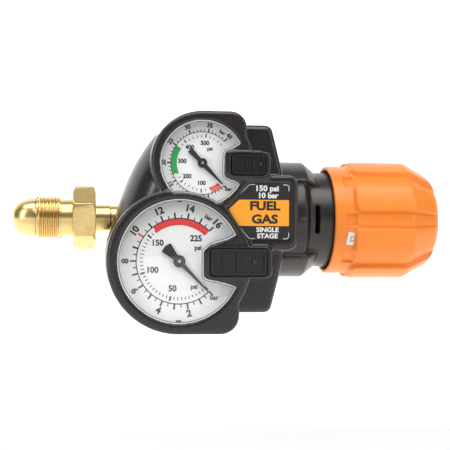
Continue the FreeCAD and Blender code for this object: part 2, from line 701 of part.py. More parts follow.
# ---------------------------------------------------------------- cover
# Outlines are (x, z, corner radius), anticlockwise from the front.
delivery_edge = delivery_x + delivery_window_r
inlet_edge = inlet_x + inlet_window_r
corner_x = delivery_edge - 0.6
corner_z = delivery_z - delivery_cup_r
inlet_corner_x = inlet_edge + 1.05
inlet_corner_z = inlet_z + inlet_cup_r
step_right = delivery_edge + 23.4
step_half_height = 46.5
panel_right = step_right + 4.5
panel_top = 21.2
panel_bottom = -15.4
left = delivery_x - delivery_cup_r + 0.8
upper_left = inlet_x - inlet_cup_r + 0.3
panel_outline = [(delivery_edge - 9.1, panel_bottom, 2), (panel_right, panel_bottom, 5), (panel_right, panel_top, 5),
                 (delivery_edge - 9.1, panel_top, 2)]
step_left = delivery_x - 3.5
step_outline = [(step_left, -step_half_height, 3), (step_right - 6.7, -step_half_height, 4), (step_right, -20, 12),
                (step_right, 20, 12), (step_right - 6.7, step_half_height, 4), (step_left, step_half_height, 3)]
shoulder_right = delivery_edge + 6.9
shoulder_outline = [(left, -22, 8), (step_left, -30, 3), (shoulder_right, -30, 3), (shoulder_right, 40, 3),
                    (upper_left + 2.9, 40, 6),
                    (upper_left, 31, 10), (left + 6.7, 6.5, 20), (left, -11, 10)]
pad_0, pad_1 = delivery_z - 7.9, delivery_z + 7.5
delivery_bridge = [(delivery_edge - 18.6, pad_0, 2), (delivery_edge + 15.1, pad_0, 3),
                   (delivery_edge + 15.1, pad_1, 3), (delivery_edge - 18.6, pad_1, 2)]
pad_2, pad_3 = inlet_z - 6.8, inlet_z + 5.8
inlet_bridge = [(inlet_edge - 10.2, pad_2, 2), (inlet_edge + 12.4, pad_2, 3), (inlet_edge + 12.4, pad_3, 3),
                (inlet_edge - 10.2, pad_3, 2)]
delivery_pad = delivery_front - 0.4
inlet_pad = inlet_front - 0.8
delivery_notch = [(delivery_edge + x, delivery_z + z, r) for x, z, r in
                  ((-18.4, -8.2, 2.5), (-7.9, -10.3, 3), (1.9, -13.8, 1), (1.9, 15.2, 1), (-6.6, 10.8, 4),
                   (-14.9, 8.3, 2), (-18.4, 5.1, 1.5))]
inlet_notch = [(inlet_edge + x, inlet_z + z, r) for x, z, r in
               ((-10.3, -6.6, 1.5), (-8.2, -7.8, 1.5), (-4.8, -8.9, 2), (3.4, -13.6, 1), (3.4, 12.4, 1),
                (-5.5, 7.6, 2.5), (-9.2, 6.0, 1.5), (-10.3, 4.0, 1))]


def cup(cx, cz, radius, side_x, side_z, corner_r, front, back, grow=0.0):
    """Round cup whose free side is drawn out to a squared corner at (side_x, side_z)."""
    r = radius + grow
    lift = 1.0 if side_z > cz else -1.0
    edge_x = side_x + grow
    edge_z = side_z + lift * grow
    c = corner_r + grow
    foot_z = cz - lift * math.sqrt(max(r * r - (edge_x - cx) ** 2, 1.0))
    round_part = cyl(r, front, back, "y", (cx, 0, cz))
    square = [V(cx, front, edge_z), V(edge_x - c, front, edge_z), V(edge_x, front, edge_z - lift * c),
              V(edge_x, front, foot_z), V(cx, front, cz)]
    mid = V(edge_x - c + c * math.sqrt(0.5), front, edge_z - lift * c * (1.0 - math.sqrt(0.5)))
    wire = Part.Wire([Part.LineSegment(square[0], square[1]).toShape(),
                      Part.Arc(square[1], mid, square[2]).toShape(),
                      Part.LineSegment(square[2], square[3]).toShape(),
                      Part.LineSegment(square[3], square[4]).toShape(),
                      Part.LineSegment(square[4], square[0]).toShape()])
    corner_part = Part.Face(wire).extrude(Y_AXIS * (back - front))
    return fuse(round_part, corner_part)


def delivery_cup(front, back, grow=0.0):
    return cup(delivery_x, delivery_z, delivery_cup_r, corner_x, corner_z, 9.0, front, back, grow)


def inlet_cup(front, back, grow=0.0):
    return cup(inlet_x, inlet_z, inlet_cup_r, inlet_corner_x, inlet_corner_z, 8.0, front, back, grow)


def window(cx, cz, radius, notch, front, back, grow=0.0):
    """Gauge opening: a circle with the notch cut out of its right side."""
    opening = cyl(radius + grow, front, back, "y", (cx, 0, cz))
    return opening.cut(slab(notch, front - 1, back + 1, -grow))


def delivery_window(front, back, grow=0.0):
    return window(delivery_x, delivery_z, delivery_window_r, delivery_notch, front, back, grow)


def inlet_window(front, back, grow=0.0):
    opening = window(inlet_x, inlet_z, inlet_window_r, inlet_notch, front, back, grow)
    rim = cyl(delivery_cup_r - 2.0 - grow, front - 1, back + 1, "y", (delivery_x, 0, delivery_z))
    return opening.cut(rim)


screw_boss_r = 4.0
delivery_boss_sink = 0.4      # how far a boss runs into the wall round its gauge
inlet_boss_sink = 0.25
delivery_bore_r = max(delivery_cup_r - wall, delivery_case_r + case_clearance)
inlet_bore_r = max(inlet_cup_r - wall, inlet_case_r + case_clearance)
delivery_screw_r = delivery_bore_r - screw_boss_r + delivery_boss_sink
inlet_screw_r = inlet_bore_r - screw_boss_r + inlet_boss_sink
screw_places = [(delivery_x - delivery_screw_r * math.sqrt(0.5), delivery_z - delivery_screw_r * math.sqrt(0.5)),
                (corner_x - 7.0, corner_z + 7.0),
                (inlet_x - inlet_screw_r * math.cos(math.radians(30)),
                 inlet_z + inlet_screw_r * math.sin(math.radians(30))),
                (inlet_corner_x - 6.4, inlet_corner_z - 6.4)]
plate_front = cover_back - 2.6


def front_cover():
    """Moulded cover: two gauge cups, a stepped right side, the label panel and the sloping left shoulder."""
    solids = [soften_front(delivery_cup(delivery_front, cover_back), delivery_front, 2.2),
              soften_front(inlet_cup(inlet_front, cover_back), inlet_front, 2.0),
              soften_front(slab(step_outline, step_front, cover_back), step_front, 3.0),
              soften_front(slab(shoulder_outline, shoulder_front, cover_back), shoulder_front, 5.0),
              soften_front(slab(panel_outline, panel_front, -32.0), panel_front, 1.8),
              soften_front(slab(delivery_bridge, delivery_pad, step_front + 4), delivery_pad, 0.9),
              soften_front(slab(inlet_bridge, inlet_pad, step_front + 4), inlet_pad, 0.9)]
    outer = fuse(*solids)
    cavity = [delivery_cup(delivery_front + 5.4, cover_back + 1, -wall),
              inlet_cup(inlet_front + 5.0, cover_back + 1, -wall),
              cyl(delivery_case_r + case_clearance, lens_front - 0.05, cover_back + 1, "y",
                  (delivery_x, 0, delivery_z)),
              cyl(inlet_case_r + case_clearance, lens_front - 0.05, cover_back + 1, "y", (inlet_x, 0, inlet_z)),
              slab(step_outline, step_front + wall, cover_back + 1, -wall),
              slab(shoulder_outline, shoulder_front + wall, cover_back + 1, -wall),
              box(delivery_edge + 2.9, panel_right - 8.0, panel_front + wall, step_front + wall + 1, panel_bottom + 3.4,
                  panel_top - 3.2)]
    shell = outer.cut(cavity[0].multiFuse(cavity[1:]))
    bosses = [cyl(screw_boss_r, -22.0, plate_front, "y", (x, 0, z)) for x, z in screw_places]
    shell = fuse(shell, *[b.common(outer) for b in bosses])
    openings = [delivery_window(delivery_front - 1, case_front + 1, 0.12),
                inlet_window(inlet_front - 1, case_front + 1, 0.12),
                cyl(13.0, left - 10.0, barrel_start + 2),
                cyl(flange_r + 0.8, flange_start - 0.75 * (flange_r - barrel_r) - 0.5, bonnet_start),
                cyl(barrel_r + 0.8, barrel_start - 1, flange_start),
                cyl(bonnet_ear_r + 0.8, bonnet_start - 0.8, panel_right + 20.0)]
    openings += [cyl(1.25, -18.0, plate_front + 1, "y", (x, 0, z)) for x, z in screw_places]
    openings.append(label_plate(0.12))
    openings.append(clip_plate(delivery_bridge, delivery_pad, 0.12))
    openings.append(clip_plate(inlet_bridge, inlet_pad, 0.12))
    return shell.cut(openings[0].multiFuse(openings[1:]))


def label_plate(grow=0.0):
    """Arrow-shaped label let into the panel."""
    z0, z1, x1 = panel_bottom + 5.2, panel_top - 4.2, panel_right - 4.2
    tip, x0 = delivery_edge - 6.5, delivery_edge + 3.4
    outline = [(tip, 4.4, 0.6), (x0, z0, 1.0), (x1, z0, 1.4), (x1, z1, 1.4), (x0, z1, 1.0)]
    return slab(outline, panel_front - 0.05 - 2.0 * (grow > 0), panel_front + 0.75, grow)


def clip_plate(bridge, front, grow=0.0):
    """Rounded bar that retains a gauge; it lies in a pocket along the bridge."""
    (x0, z0, _), (x1, _, _), (_, z1, _), _ = bridge
    outline = [(x0 + 3.6, z0 + 1.3, 1.6), (x1 - 2.8, z0 + 1.3, 1.6), (x1 - 2.8, z1 - 1.3, 1.6),
               (x0 + 3.6, z1 - 1.3, 1.6)]
    return slab(outline, front - 0.3 - 2.0 * (grow > 0), lens_front - 0.06, grow)


def clip(bridge, front, ribs, dot):
    """Retaining bar with a sunk face, two upright ribs and the hole for its screw."""
    plate = clip_plate(bridge, front)
    (x0, z0, _), (x1, _, _), (_, z1, _), _ = bridge
    sunk = slab([(x0 + 5.0, z0 + 2.6, 0.8), (x1 - 4.2, z0 + 2.6, 0.8), (x1 - 4.2, z1 - 2.6, 0.8),
                 (x0 + 5.0, z1 - 2.6, 0.8)], front - 1.0, front + 0.7)
    plate = plate.cut(sunk)
    bars = [slab([(x - 0.6, z0 + 3.4, 0.4), (x + 0.6, z0 + 3.4, 0.4), (x + 0.6, z1 - 3.4, 0.4),
                  (x - 0.6, z1 - 3.4, 0.4)], front - 0.2, front + 1.0) for x in ribs]
    plate = fuse(plate, *bars)
    counterbore = cyl(1.5, front - 1, front + 0.7, "y", (dot[0], 0, dot[1]))
    return plate.cut(fuse(counterbore, cyl(0.9, front, front + 4, "y", (dot[0], 0, dot[1]))))


delivery_clip_screw = (delivery_edge + 6.3, (delivery_bridge[0][1] + delivery_bridge[2][1]) / 2.0)
inlet_clip_screw = (inlet_edge + 7.3, (inlet_bridge[0][1] + inlet_bridge[2][1]) / 2.0)


def clip_screws():
    """Small pan-head screws, one in each clip."""
    heads = []
    for (x, z), front in ((delivery_clip_screw, delivery_pad), (inlet_clip_screw, inlet_pad)):
        screw = turned([(front - 0.1, 0), (front - 0.1, 1.1), (front + 0.65, 1.4), (front + 0.65, 0.85),
                        (front + 1.55, 0.85), (front + 1.55, 0)], "y", (x, 0, z))
        heads.append(screw.cut(box(x - 0.16, x + 0.16, front - 0.5, front + 0.2, z - 0.8, z + 0.8)))
    return Part.makeCompound(heads)


def back_plate(upper):
    """Plate that closes one gauge cup from behind, cut away around the body."""
    make_cup = inlet_cup if upper else delivery_cup
    plate = make_cup(plate_front, cover_back - 0.1, -wall - 0.15)
    limit = barrel_r + 2.0 * plate_gap
    keep = box(0, 200, -10, 10, limit, 150) if upper else box(0, 200, -10, 10, -150, -limit)
    plate = fuse(plate, slab(step_outline, plate_front, cover_back - 0.1, -wall - 0.15)).common(keep)
    holes = [cyl(1.7, plate_front - 1, cover_back + 1, "y", (x, 0, z)) for x, z in screw_places]
    holes += [cyl(barrel_r + plate_gap, left, flange_start),
              cyl(flange_r + plate_gap, flange_start - 0.75 * (flange_r - barrel_r) - 0.5, panel_right),
             cyl(bonnet_ear_r + plate_gap, bonnet_start - plate_gap, panel_right + 20.0)]
    ribs = [box(x, x + 1.2, cover_back - 0.1 - 0.8, cover_back + 1, limit + 2.5, inlet_corner_z - 7) if upper
            else box(x, x + 1.2, cover_back - 0.1 - 0.8, cover_back + 1, corner_z + 10, -limit - 2.5)
            for x in [delivery_x + 2.5 + 4.0 * i for i in range(4)]]
    return plate.cut(holes[0].multiFuse(holes[1:] + ribs))


def cover_screws():
    """Four self-tapping screws through the back plates."""
    screws = []
    for x, z in screw_places:
        screw = turned([(plate_front - 11.0, 0), (plate_front - 10.0, 1.2), (cover_back, 1.2), (cover_back, 2.9),
                        (cover_back + 0.9, 2.7), (cover_back + 1.7, 1.6), (cover_back + 1.9, 0)], "y",
                       (x, 0, z))
        cross = fuse(box(x - 1.5, x + 1.5, cover_back + 0.7, cover_back + 2.5, z - 0.3, z + 0.3),
                     box(x - 0.3, x + 0.3, cover_back + 0.7, cover_back + 2.5, z - 1.5, z + 1.5))
        screws.append(screw.cut(cross))
    return Part.makeCompound(screws)


put("front_cover", front_cover())
put("gas_label", label_plate())
delivery_ribs = (delivery_edge - 8.7, delivery_edge - 1.9)
inlet_ribs = (inlet_edge + 0.8, inlet_edge + 4.0)
put("delivery_gauge_clip", clip(delivery_bridge, delivery_pad, delivery_ribs, delivery_clip_screw))
put("inlet_gauge_clip", clip(inlet_bridge, inlet_pad, inlet_ribs, inlet_clip_screw))
put("clip_screws", clip_screws())
put("upper_back_plate", back_plate(True))
put("lower_back_plate", back_plate(False))
put("cover_screws", cover_screws())


# ---------------------------------------------------------------- gauges
# Each gauge is drawn on its own axis, x right and y up as the dial shows and z towards the reader,
# with z = 0 at the back of its case.
def place(shape, cx, cz):
    shape.rotate(V(0, 0, 0), X_AXIS, 90)
    shape.translate(V(cx, back_of_gauges, cz))
    return shape


def disc(radius, z0, z1, x=0.0, y=0.0):
    return Part.makeCylinder(radius, z1 - z0, V(x, y, z0))


def prism(points, z0, z1):
    return Part.Face(Part.makePolygon([V(x, y, z0) for x, y in points + points[:1]])).extrude(V(0, 0, z1 - z0))


def polar(radius, degrees, x=0.0, y=0.0):
    a = math.radians(degrees)
    return x + radius * math.cos(a), y + radius * math.sin(a)


def tooth(pitch_r, module, middle, add, ded, x, y):
    """Straight-flanked tooth on a wheel at (x, y), thinned for backlash."""
    flank = ((pitch_r - ded - 0.1, 0.62), (pitch_r, 0.36), (pitch_r + add, 0.16))
    step = math.pi * module
    left = [polar(r, middle + math.degrees(w * step / 2.0 / r), x, y) for r, w in flank]
    right = [polar(r, middle - math.degrees(w * step / 2.0 / r), x, y) for r, w in flank]
    return left + right[::-1]


def strip(x0, y0, x1, y1, width, z0, z1):
    """Flat bar between two points with round ends."""
    length = math.hypot(x1 - x0, y1 - y0)
    nx, ny = -(y1 - y0) / length * width / 2.0, (x1 - x0) / length * width / 2.0
    bar = prism([(x0 + nx, y0 + ny), (x0 - nx, y0 - ny), (x1 - nx, y1 - ny), (x1 + nx, y1 + ny)], z0, z1)
    return fuse(bar, disc(width / 2.0, z0, z1, x0, y0), disc(width / 2.0, z0, z1, x1, y1))


def large_case_in(cx, cz, radius):
    """Round bar along the large gauge's case, seen from the gauge at (cx, cz)."""
    return disc(radius, -30, 60, delivery_x - cx, delivery_z - cz)


def gauge(prefix, cx, cz, case_r, tube_r, k, pointer_shape, relieved):
    """One Bourdon-tube pressure gauge; k is the size of its movement.

    A relieved case gives way to the large one.
    """
    dial0 = case_depth - dial_setback
    stretch = (dial0 - case_back) / movement_depth

    def level(z):
        return case_back + (z - case_back) * stretch

    module = 0.32 * k
    pinion_r = module * pinion_teeth / 2.0
    sector_r = module * sector_teeth / 2.0
    pivot_angle = -55.0
    px, py = polar(pinion_r + sector_r, pivot_angle)
    half_swing = pointer_sweep / 2.0 * pinion_teeth / sector_teeth
    arbor_r = 0.75 * k
    gear0, gear1 = level(9.0), level(10.2)
    link0, link1 = level(10.35), level(10.95)
    hair0, hair1 = level(11.4), level(12.3)
    tube0, tube1 = level(3.2), level(8.8)
    plate0, plate1 = level(6.2), level(14.2)
    block_half = 5.0 * k

    inside = disc(case_r - case_wall, case_back, case_depth + 1)
    case = disc(case_r, 0, case_depth)
    dial = disc(case_r - case_wall - 0.15, dial0, dial0 + 0.6).cut(disc(arbor_r + 0.5, dial0 - 1, dial0 + 1))
    if relieved:
        relief_r = delivery_case_r + gauge_gap
        case = case.cut(large_case_in(cx, cz, relief_r))
        inside = inside.cut(large_case_in(cx, cz, relief_r + case_wall))
        dial = dial.cut(large_case_in(cx, cz, relief_r + case_wall + 0.15))
    case = case.cut(inside).cut(disc(5.4, -1, 2))
    put(prefix + "_case", place(case, cx, cz))

    foot = -tube_r - 1.6
    block = prism([(-block_half, 5), (-block_half, foot), (block_half, foot), (block_half, 5)],
                  case_back + 0.05, plate0)
    horn = prism([(-block_half, foot + 3.2), (-block_half, foot), (block_half, foot), (block_half, foot + 3.2)],
                 case_back + 0.05, level(9.2))
    stem = fuse(disc(5.3, -0.2, 1.5), disc(4.95, -3.3 - port_depth + 1.0, 0),
                prism([polar(7.6, 60 * i) for i in range(6)], -2.9, -0.2))
    socket = fuse(block, horn, stem).cut(disc(1.5, -20, 3.6))
    put(prefix + "_socket", place(socket, cx, cz))

    tip_angle = -27.0
    sweep = 270.0 - tip_angle - 0.75 * math.degrees(block_half / tube_r)
    flat = 1.1
    skin = 0.4
    outer = turned([(tube0, tube_r - flat), (tube0, tube_r + flat), (tube1, tube_r + flat), (tube1, tube_r - flat)],
                   "z", angle=sweep)
    inner = turned([(tube0 + skin, tube_r - flat + skin), (tube0 + skin, tube_r + flat - skin),
                    (tube1 - skin, tube_r + flat - skin), (tube1 - skin, tube_r - flat + skin)],
                   "z", angle=sweep - 3.0)
    inner.rotate(V(0, 0, 0), Z_AXIS, 3.0)
    tube = outer.cut(inner)
    tube.rotate(V(0, 0, 0), Z_AXIS, tip_angle)
    tube = tube.cut(block).cut(horn)
    put(prefix + "_bourdon_tube", place(tube, cx, cz))

    tail = 5.0 * k
    rest_tail_angle = pivot_angle - half_swing
    tail_x, tail_y = polar(tail, rest_tail_angle, px, py)
    tip_x, tip_y = polar(tube_r, tip_angle - 75.0 / tube_r)
    tip_end = tip_angle - 150.0 / tube_r
    tip_block = prism([polar(tube_r - 1.3, tip_angle), polar(tube_r + 1.3, tip_angle),
                       polar(tube_r + 1.3, tip_end), polar(tube_r - 1.3, tip_end)], tube0, tube1)
    tip_block = fuse(tip_block, disc(0.5, tube1 - 0.1, level(10.1), tip_x, tip_y))
    put(prefix + "_tube_tip", place(tip_block, cx, cz))
    link = strip(tail_x, tail_y, tip_x, tip_y, 2.0 * k, link0, link1)
    link = link.cut(disc(0.56, link0 - 1, link1 + 1, tip_x, tip_y))
    link = link.cut(disc(0.5 * k + 0.06, link0 - 1, link1 + 1, tail_x, tail_y))
    put(prefix + "_link", place(link, cx, cz))

    teeth = 6
    step = 360.0 / sector_teeth
    to_pinion = pivot_angle + 180.0
    rim = []
    for i in range(-teeth, teeth + 1):
        rim += tooth(sector_r, module, to_pinion - i * step, 0.24 * k, 0.40 * k, px, py)
    root = sector_r - 0.40 * k - 0.1
    reach = (teeth + 0.6) * step
    fan = [polar(root - 2.6 * k, to_pinion - reach, px, py), (px, py), polar(root - 2.6 * k, to_pinion + reach, px, py),
           polar(root, to_pinion + reach, px, py)] + rim + [polar(root, to_pinion - reach, px, py)]
    sector = prism(fan, gear0, gear1)
    lightening = prism([polar(root - 2.2 * k, to_pinion - reach * 0.55, px, py), polar(3.4 * k, to_pinion, px, py),
                        polar(root - 2.2 * k, to_pinion + reach * 0.55, px, py)], gear0 - 1, gear1 + 1)
    mid_tail_x, mid_tail_y = polar(tail, pivot_angle, px, py)
    sector = fuse(sector.cut(lightening), disc(2.1 * k, gear0, gear1, px, py),
                  strip(px, py, mid_tail_x, mid_tail_y, 2.2 * k, gear0, gear1),
                  disc(arbor_r, plate0 + 0.05, plate1 + 0.2, px, py),
                  disc(0.5 * k, gear1 - 0.1, level(11.1), mid_tail_x, mid_tail_y))
    sector.rotate(V(px, py, 0), Z_AXIS, -half_swing)
    put(prefix + "_sector", place(sector, cx, cz))

    core = disc(pinion_r - 0.40 * k, gear0 - 0.4, gear1 + 0.4)
    pieces = []
    for i in range(pinion_teeth):
        middle = pivot_angle + (i + 0.5) * 360.0 / pinion_teeth
        pieces.append(prism(tooth(pinion_r, module, middle, 0.24 * k, 0.40 * k, 0, 0), gear0 - 0.4, gear1 + 0.4))
    pinion = fuse(core, *pieces, disc(arbor_r, plate0 + 0.05, dial0 + 2.0))
    pinion.rotate(V(0, 0, 0), Z_AXIS, pointer_sweep / 2.0)
    put(prefix + "_pinion", place(pinion, cx, cz))

    pillar_1 = polar(5.6 * k, 150.0)
    pillar_2 = polar(13.2 * k, -82.0)
    levels = ((plate0, plate0 + 1.0), (plate1 - 1.0, plate1))
    plates = [strip(0, 0, px, py, 6.4 * k, z0, z1) for z0, z1 in levels]
    plates += [strip(0, 0, *pillar_1, 3.6 * k, z0, z1) for z0, z1 in levels]
    plates += [strip(px, py, *pillar_2, 3.0 * k, z0, z1) for z0, z1 in levels]
    pillars = [disc(1.0 * k, plate0 + 0.8, plate1 - 0.8, *at) for at in (pillar_1, pillar_2)]
    frame = fuse(*plates, *pillars)
    frame = frame.cut(disc(arbor_r + 0.06, 0, 20)).cut(disc(arbor_r + 0.06, 0, 20, px, py))
    put(prefix + "_movement_frame", place(frame, cx, cz))

    outer_side = []
    inner_side = []
    radius = 1.5 * k
    for i in range(9):
        side = 1.0 - 2.0 * (i % 2)
        after = radius + 0.28 * k
        middle = (radius + after) / 2.0
        for edges, shift in ((outer_side, 0.06), (inner_side, -0.06)):
            edges.append((V(side * (radius + shift), 0, hair0), V(0, side * (middle + shift), hair0),
                          V(-side * (after + shift), 0, hair0)))
        radius = after
    loop = [Part.Arc(*e).toShape() for e in outer_side]
    loop.append(Part.LineSegment(outer_side[-1][2], inner_side[-1][2]).toShape())
    loop += [Part.Arc(e[2], e[1], e[0]).toShape() for e in inner_side[::-1]]
    loop.append(Part.LineSegment(inner_side[0][0], outer_side[0][0]).toShape())
    hair = Part.Face(Part.Wire(loop)).extrude(V(0, 0, hair1 - hair0))
    put(prefix + "_hairspring", place(hair, cx, cz))

    put(prefix + "_dial", place(dial, cx, cz))
    put(prefix + "_pointer", place(pointer_shape(arbor_r, dial0 + 1.5), cx, cz))


def delivery_pointer(arbor_r, z0):
    """Tapered needle with a fan-shaped tail."""
    tip = delivery_window_r - 9.2
    needle = prism([(0, 1.15), (0, -1.15), (tip, -0.28), (tip, 0.28)], z0, z0 + 0.5)
    tail = prism([(0, 0.9), (-9.2, 2.9), (-9.9, 0.0), (-9.2, -2.9), (0, -0.9)], z0, z0 + 0.5)
    hub = disc(2.95, z0, z0 + 0.9)
    pointer = fuse(needle, tail, hub, disc(1.2, z0 + 0.5, z0 + 1.3)).cut(disc(arbor_r, z0 - 1, z0 + 0.5))
    pointer.rotate(V(0, 0, 0), Z_AXIS, pointer_rest)
    return pointer


def inlet_pointer(arbor_r, z0):
    """Tapered needle with a straight tail."""
    tip = inlet_window_r - 6.2
    needle = prism([(0, 1.25), (0, -1.25), (tip, -0.25), (tip, 0.25)], z0, z0 + 0.5)
    tail = prism([(0, 0.95), (-8.7, 1.35), (-8.7, -1.35), (0, -0.95)], z0, z0 + 0.5)
    hub = disc(2.3, z0, z0 + 0.9)
    pointer = fuse(needle, tail, hub, disc(1.0, z0 + 0.5, z0 + 1.3)).cut(disc(arbor_r, z0 - 1, z0 + 0.5))
    pointer.rotate(V(0, 0, 0), Z_AXIS, pointer_rest)
    return pointer


def lens(make_window, cx, cz, case_r, front):
    """Clear window: a plug that fills the cover's opening and a flange that bears on the case."""
    plug = make_window(front + 0.4, case_front - 0.9, 0.0)
    flange = cyl(case_r - 0.2, lens_front, case_front - 0.02, "y", (cx, 0, cz))
    if cz > delivery_z:
        keep_out = delivery_case_r + gauge_gap + 0.1
        flange = flange.cut(cyl(keep_out, lens_front - 1, case_front + 1, "y", (delivery_x, 0, delivery_z)))
    return fuse(plug, flange)


gauge("delivery_gauge", delivery_x, delivery_z, delivery_case_r, delivery_tube_r, 1.0, delivery_pointer, False)
gauge("inlet_gauge", inlet_x, inlet_z, inlet_case_r, inlet_tube_r, 0.75, inlet_pointer, True)
put("delivery_gauge_lens", lens(delivery_window, delivery_x, delivery_z, delivery_case_r, delivery_front))
put("inlet_gauge_lens", lens(inlet_window, inlet_x, inlet_z, inlet_case_r, inlet_front))

# ---------------------------------------------------------------- export
os.makedirs("parts", exist_ok=True)
for name, shape in PARTS.items():
    if not shape.isValid() or shape.Volume <= 0:
        print("CHECK", name, shape.isValid(), round(shape.Volume, 3))
    shape.exportStep(f"parts/{name}.step")
print(len(PARTS), "sub-parts written")
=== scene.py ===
"""Gas regulator in its own frame, in metres: +X from the inlet to the knob, +Z up, dials facing -Y.

The sizes below are in millimetres, as on a maker's drawing, and the shaping calls turn them into metres.
"""

import json
import math

import bmesh
import bpy
from mathutils import Matrix, Vector


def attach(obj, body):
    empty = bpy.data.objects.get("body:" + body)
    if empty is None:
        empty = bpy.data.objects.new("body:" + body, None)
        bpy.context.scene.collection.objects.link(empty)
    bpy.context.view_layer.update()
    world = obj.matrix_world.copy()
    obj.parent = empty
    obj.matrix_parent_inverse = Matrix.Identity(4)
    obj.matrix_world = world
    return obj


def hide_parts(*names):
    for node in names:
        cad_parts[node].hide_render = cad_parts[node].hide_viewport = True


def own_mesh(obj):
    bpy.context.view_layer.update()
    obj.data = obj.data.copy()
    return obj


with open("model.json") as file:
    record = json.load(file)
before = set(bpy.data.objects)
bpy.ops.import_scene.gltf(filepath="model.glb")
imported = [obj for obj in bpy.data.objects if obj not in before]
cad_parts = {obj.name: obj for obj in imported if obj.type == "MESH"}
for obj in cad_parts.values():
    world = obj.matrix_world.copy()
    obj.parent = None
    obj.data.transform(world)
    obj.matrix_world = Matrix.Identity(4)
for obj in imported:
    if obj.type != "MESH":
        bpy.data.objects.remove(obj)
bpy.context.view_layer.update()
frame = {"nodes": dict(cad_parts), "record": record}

MM = 0.001
AXES = {"X": Vector((1, 0, 0)), "Y": Vector((0, 1, 0)), "Z": Vector((0, 0, 1))}
DELIVERY = (63.5, -20.7)  # x and z of the middle of each gauge
INLET = (74.3, 26.6)


# ------------------------------------------------------------------ finishes
class Signal:
    """A shader socket that can be used in Python expressions; each operation adds its Math node."""

    def __init__(self, finish, socket):
        self.finish = finish
        self.socket = socket

    def maths(self, operation, *values, clamp=False):
        settings = {"operation": operation, "use_clamp": clamp}
        return self.finish.node("Math", settings, {i: v for i, v in enumerate(values)})

    def __add__(self, other):
        return self.maths("ADD", self, other)

    __radd__ = __add__

    def __mul__(self, other):
        return self.maths("MULTIPLY", self, other)

    def __sub__(self, other):
        return self.maths("SUBTRACT", self, other)

    def __rsub__(self, other):
        return self.maths("SUBTRACT", other, self)

    def above(self, edge, softness):
        """0 below edge, 1 above it, with a soft step between."""
        return self.maths("MULTIPLY", self - (edge - softness / 2), 1.0 / softness, clamp=True)


class Finish:
    """A procedural material that reads Object coordinates in millimetres."""

    def __init__(self, name, color, roughness, metallic=0.0, specular=0.5):
        self.material = bpy.data.materials.new(name)
        self.material.use_nodes = True
        self.tree = self.material.node_tree
        self.tree.nodes.clear()
        self.output = self.tree.nodes.new("ShaderNodeOutputMaterial")
        self.shader = self.tree.nodes.new("ShaderNodeBsdfPrincipled")
        self.tree.links.new(self.shader.outputs[0], self.output.inputs[0])
        self.give("Base Color", rgb(*color))
        self.give("Roughness", roughness)
        self.give("Metallic", metallic)
        self.give("Specular IOR Level", specular)
        self.material.diffuse_color = rgb(*color)
        self.place = None

    def node(self, kind, settings=None, sockets=None, output=0):
        """Adds a node: its settings first, then the values or links of its sockets."""
        made = self.tree.nodes.new("ShaderNode" + kind)
        for key, value in (settings or {}).items():
            setattr(made, key, value)
        for key, value in (sockets or {}).items():
            if isinstance(value, Signal):
                self.tree.links.new(value.socket, made.inputs[key])
            else:
                made.inputs[key].default_value = value
        return Signal(self, made.outputs[output])

    def give(self, name, value):
        if isinstance(value, Signal):
            self.tree.links.new(value.socket, self.shader.inputs[name])
        else:
            self.shader.inputs[name].default_value = value

    def at(self, stretch=(1.0, 1.0, 1.0)):
        """Object coordinates in millimetres, stretched along each axis."""
        if self.place is None:
            self.place = self.node("TexCoord", output="Object")
        return self.node("Mapping", {}, {"Vector": self.place, "Scale": tuple(s / MM for s in stretch)})

    def noise(self, scale, detail=2.0, stretch=(1.0, 1.0, 1.0), roughness=0.5):
        """Cloudy pattern, 0 to 1; scale is in patches per millimetre."""
        return self.node("TexNoise", {}, {"Vector": self.at(stretch), "Scale": scale, "Detail": detail,
                                          "Roughness": roughness})

    def split(self, vector):
        made = self.tree.nodes.new("ShaderNodeSeparateXYZ")
        self.tree.links.new(vector.socket, made.inputs[0])
        return [Signal(self, o) for o in made.outputs]

    def blend(self, factor, first, second):
        """Mixes two colours by a factor."""
        return self.node("Mix", {"data_type": "RGBA"}, {0: factor, 6: first, 7: second}, output=2)

    def relief(self, height, depth, strength=1.0):
        """Feeds Normal with a bump of that height signal; depth is in millimetres."""
        self.give("Normal", self.node("Bump", {}, {"Strength": strength, "Distance": depth * MM, "Height": height}))


def rgb(*values):
    return (*values, 1.0)


def turned_brass(name, axis, color, groove=0.004):
    """Machined brass: fine tool marks round the axis, faint clouds of tarnish, brighter between them."""
    made = Finish(name, color, 0.24, metallic=1.0)
    stretch = {"X": (1.0, 0.02, 0.02), "Y": (0.02, 1.0, 0.02)}[axis]
    marks = made.noise(7.0, 3.0, stretch, 0.65)
    clouds = made.noise(0.16, 4.0)
    dark = tuple(c * f for c, f in zip(color, (0.80, 0.72, 0.58)))
    made.give("Base Color", made.blend(clouds.above(0.52, 0.5) * 0.55, rgb(*color), rgb(*dark)))
    made.give("Roughness", 0.17 + marks * 0.10 + clouds * 0.10)
    made.relief(marks, groove)
    return made


def cast_brass(name, color):
    """Forged and tumbled brass: soft pits and a mottled colour."""
    made = Finish(name, color, 0.38, metallic=1.0)
    pits = made.noise(1.6, 4.0)
    clouds = made.noise(0.09, 3.0)
    dark = tuple(c * f for c, f in zip(color, (0.72, 0.66, 0.55)))
    made.give("Base Color", made.blend(clouds.above(0.5, 0.6) * 0.7, rgb(*color), rgb(*dark)))
    made.give("Roughness", 0.30 + pits * 0.22)
    made.relief(pits, 0.03, 0.6)
    return made


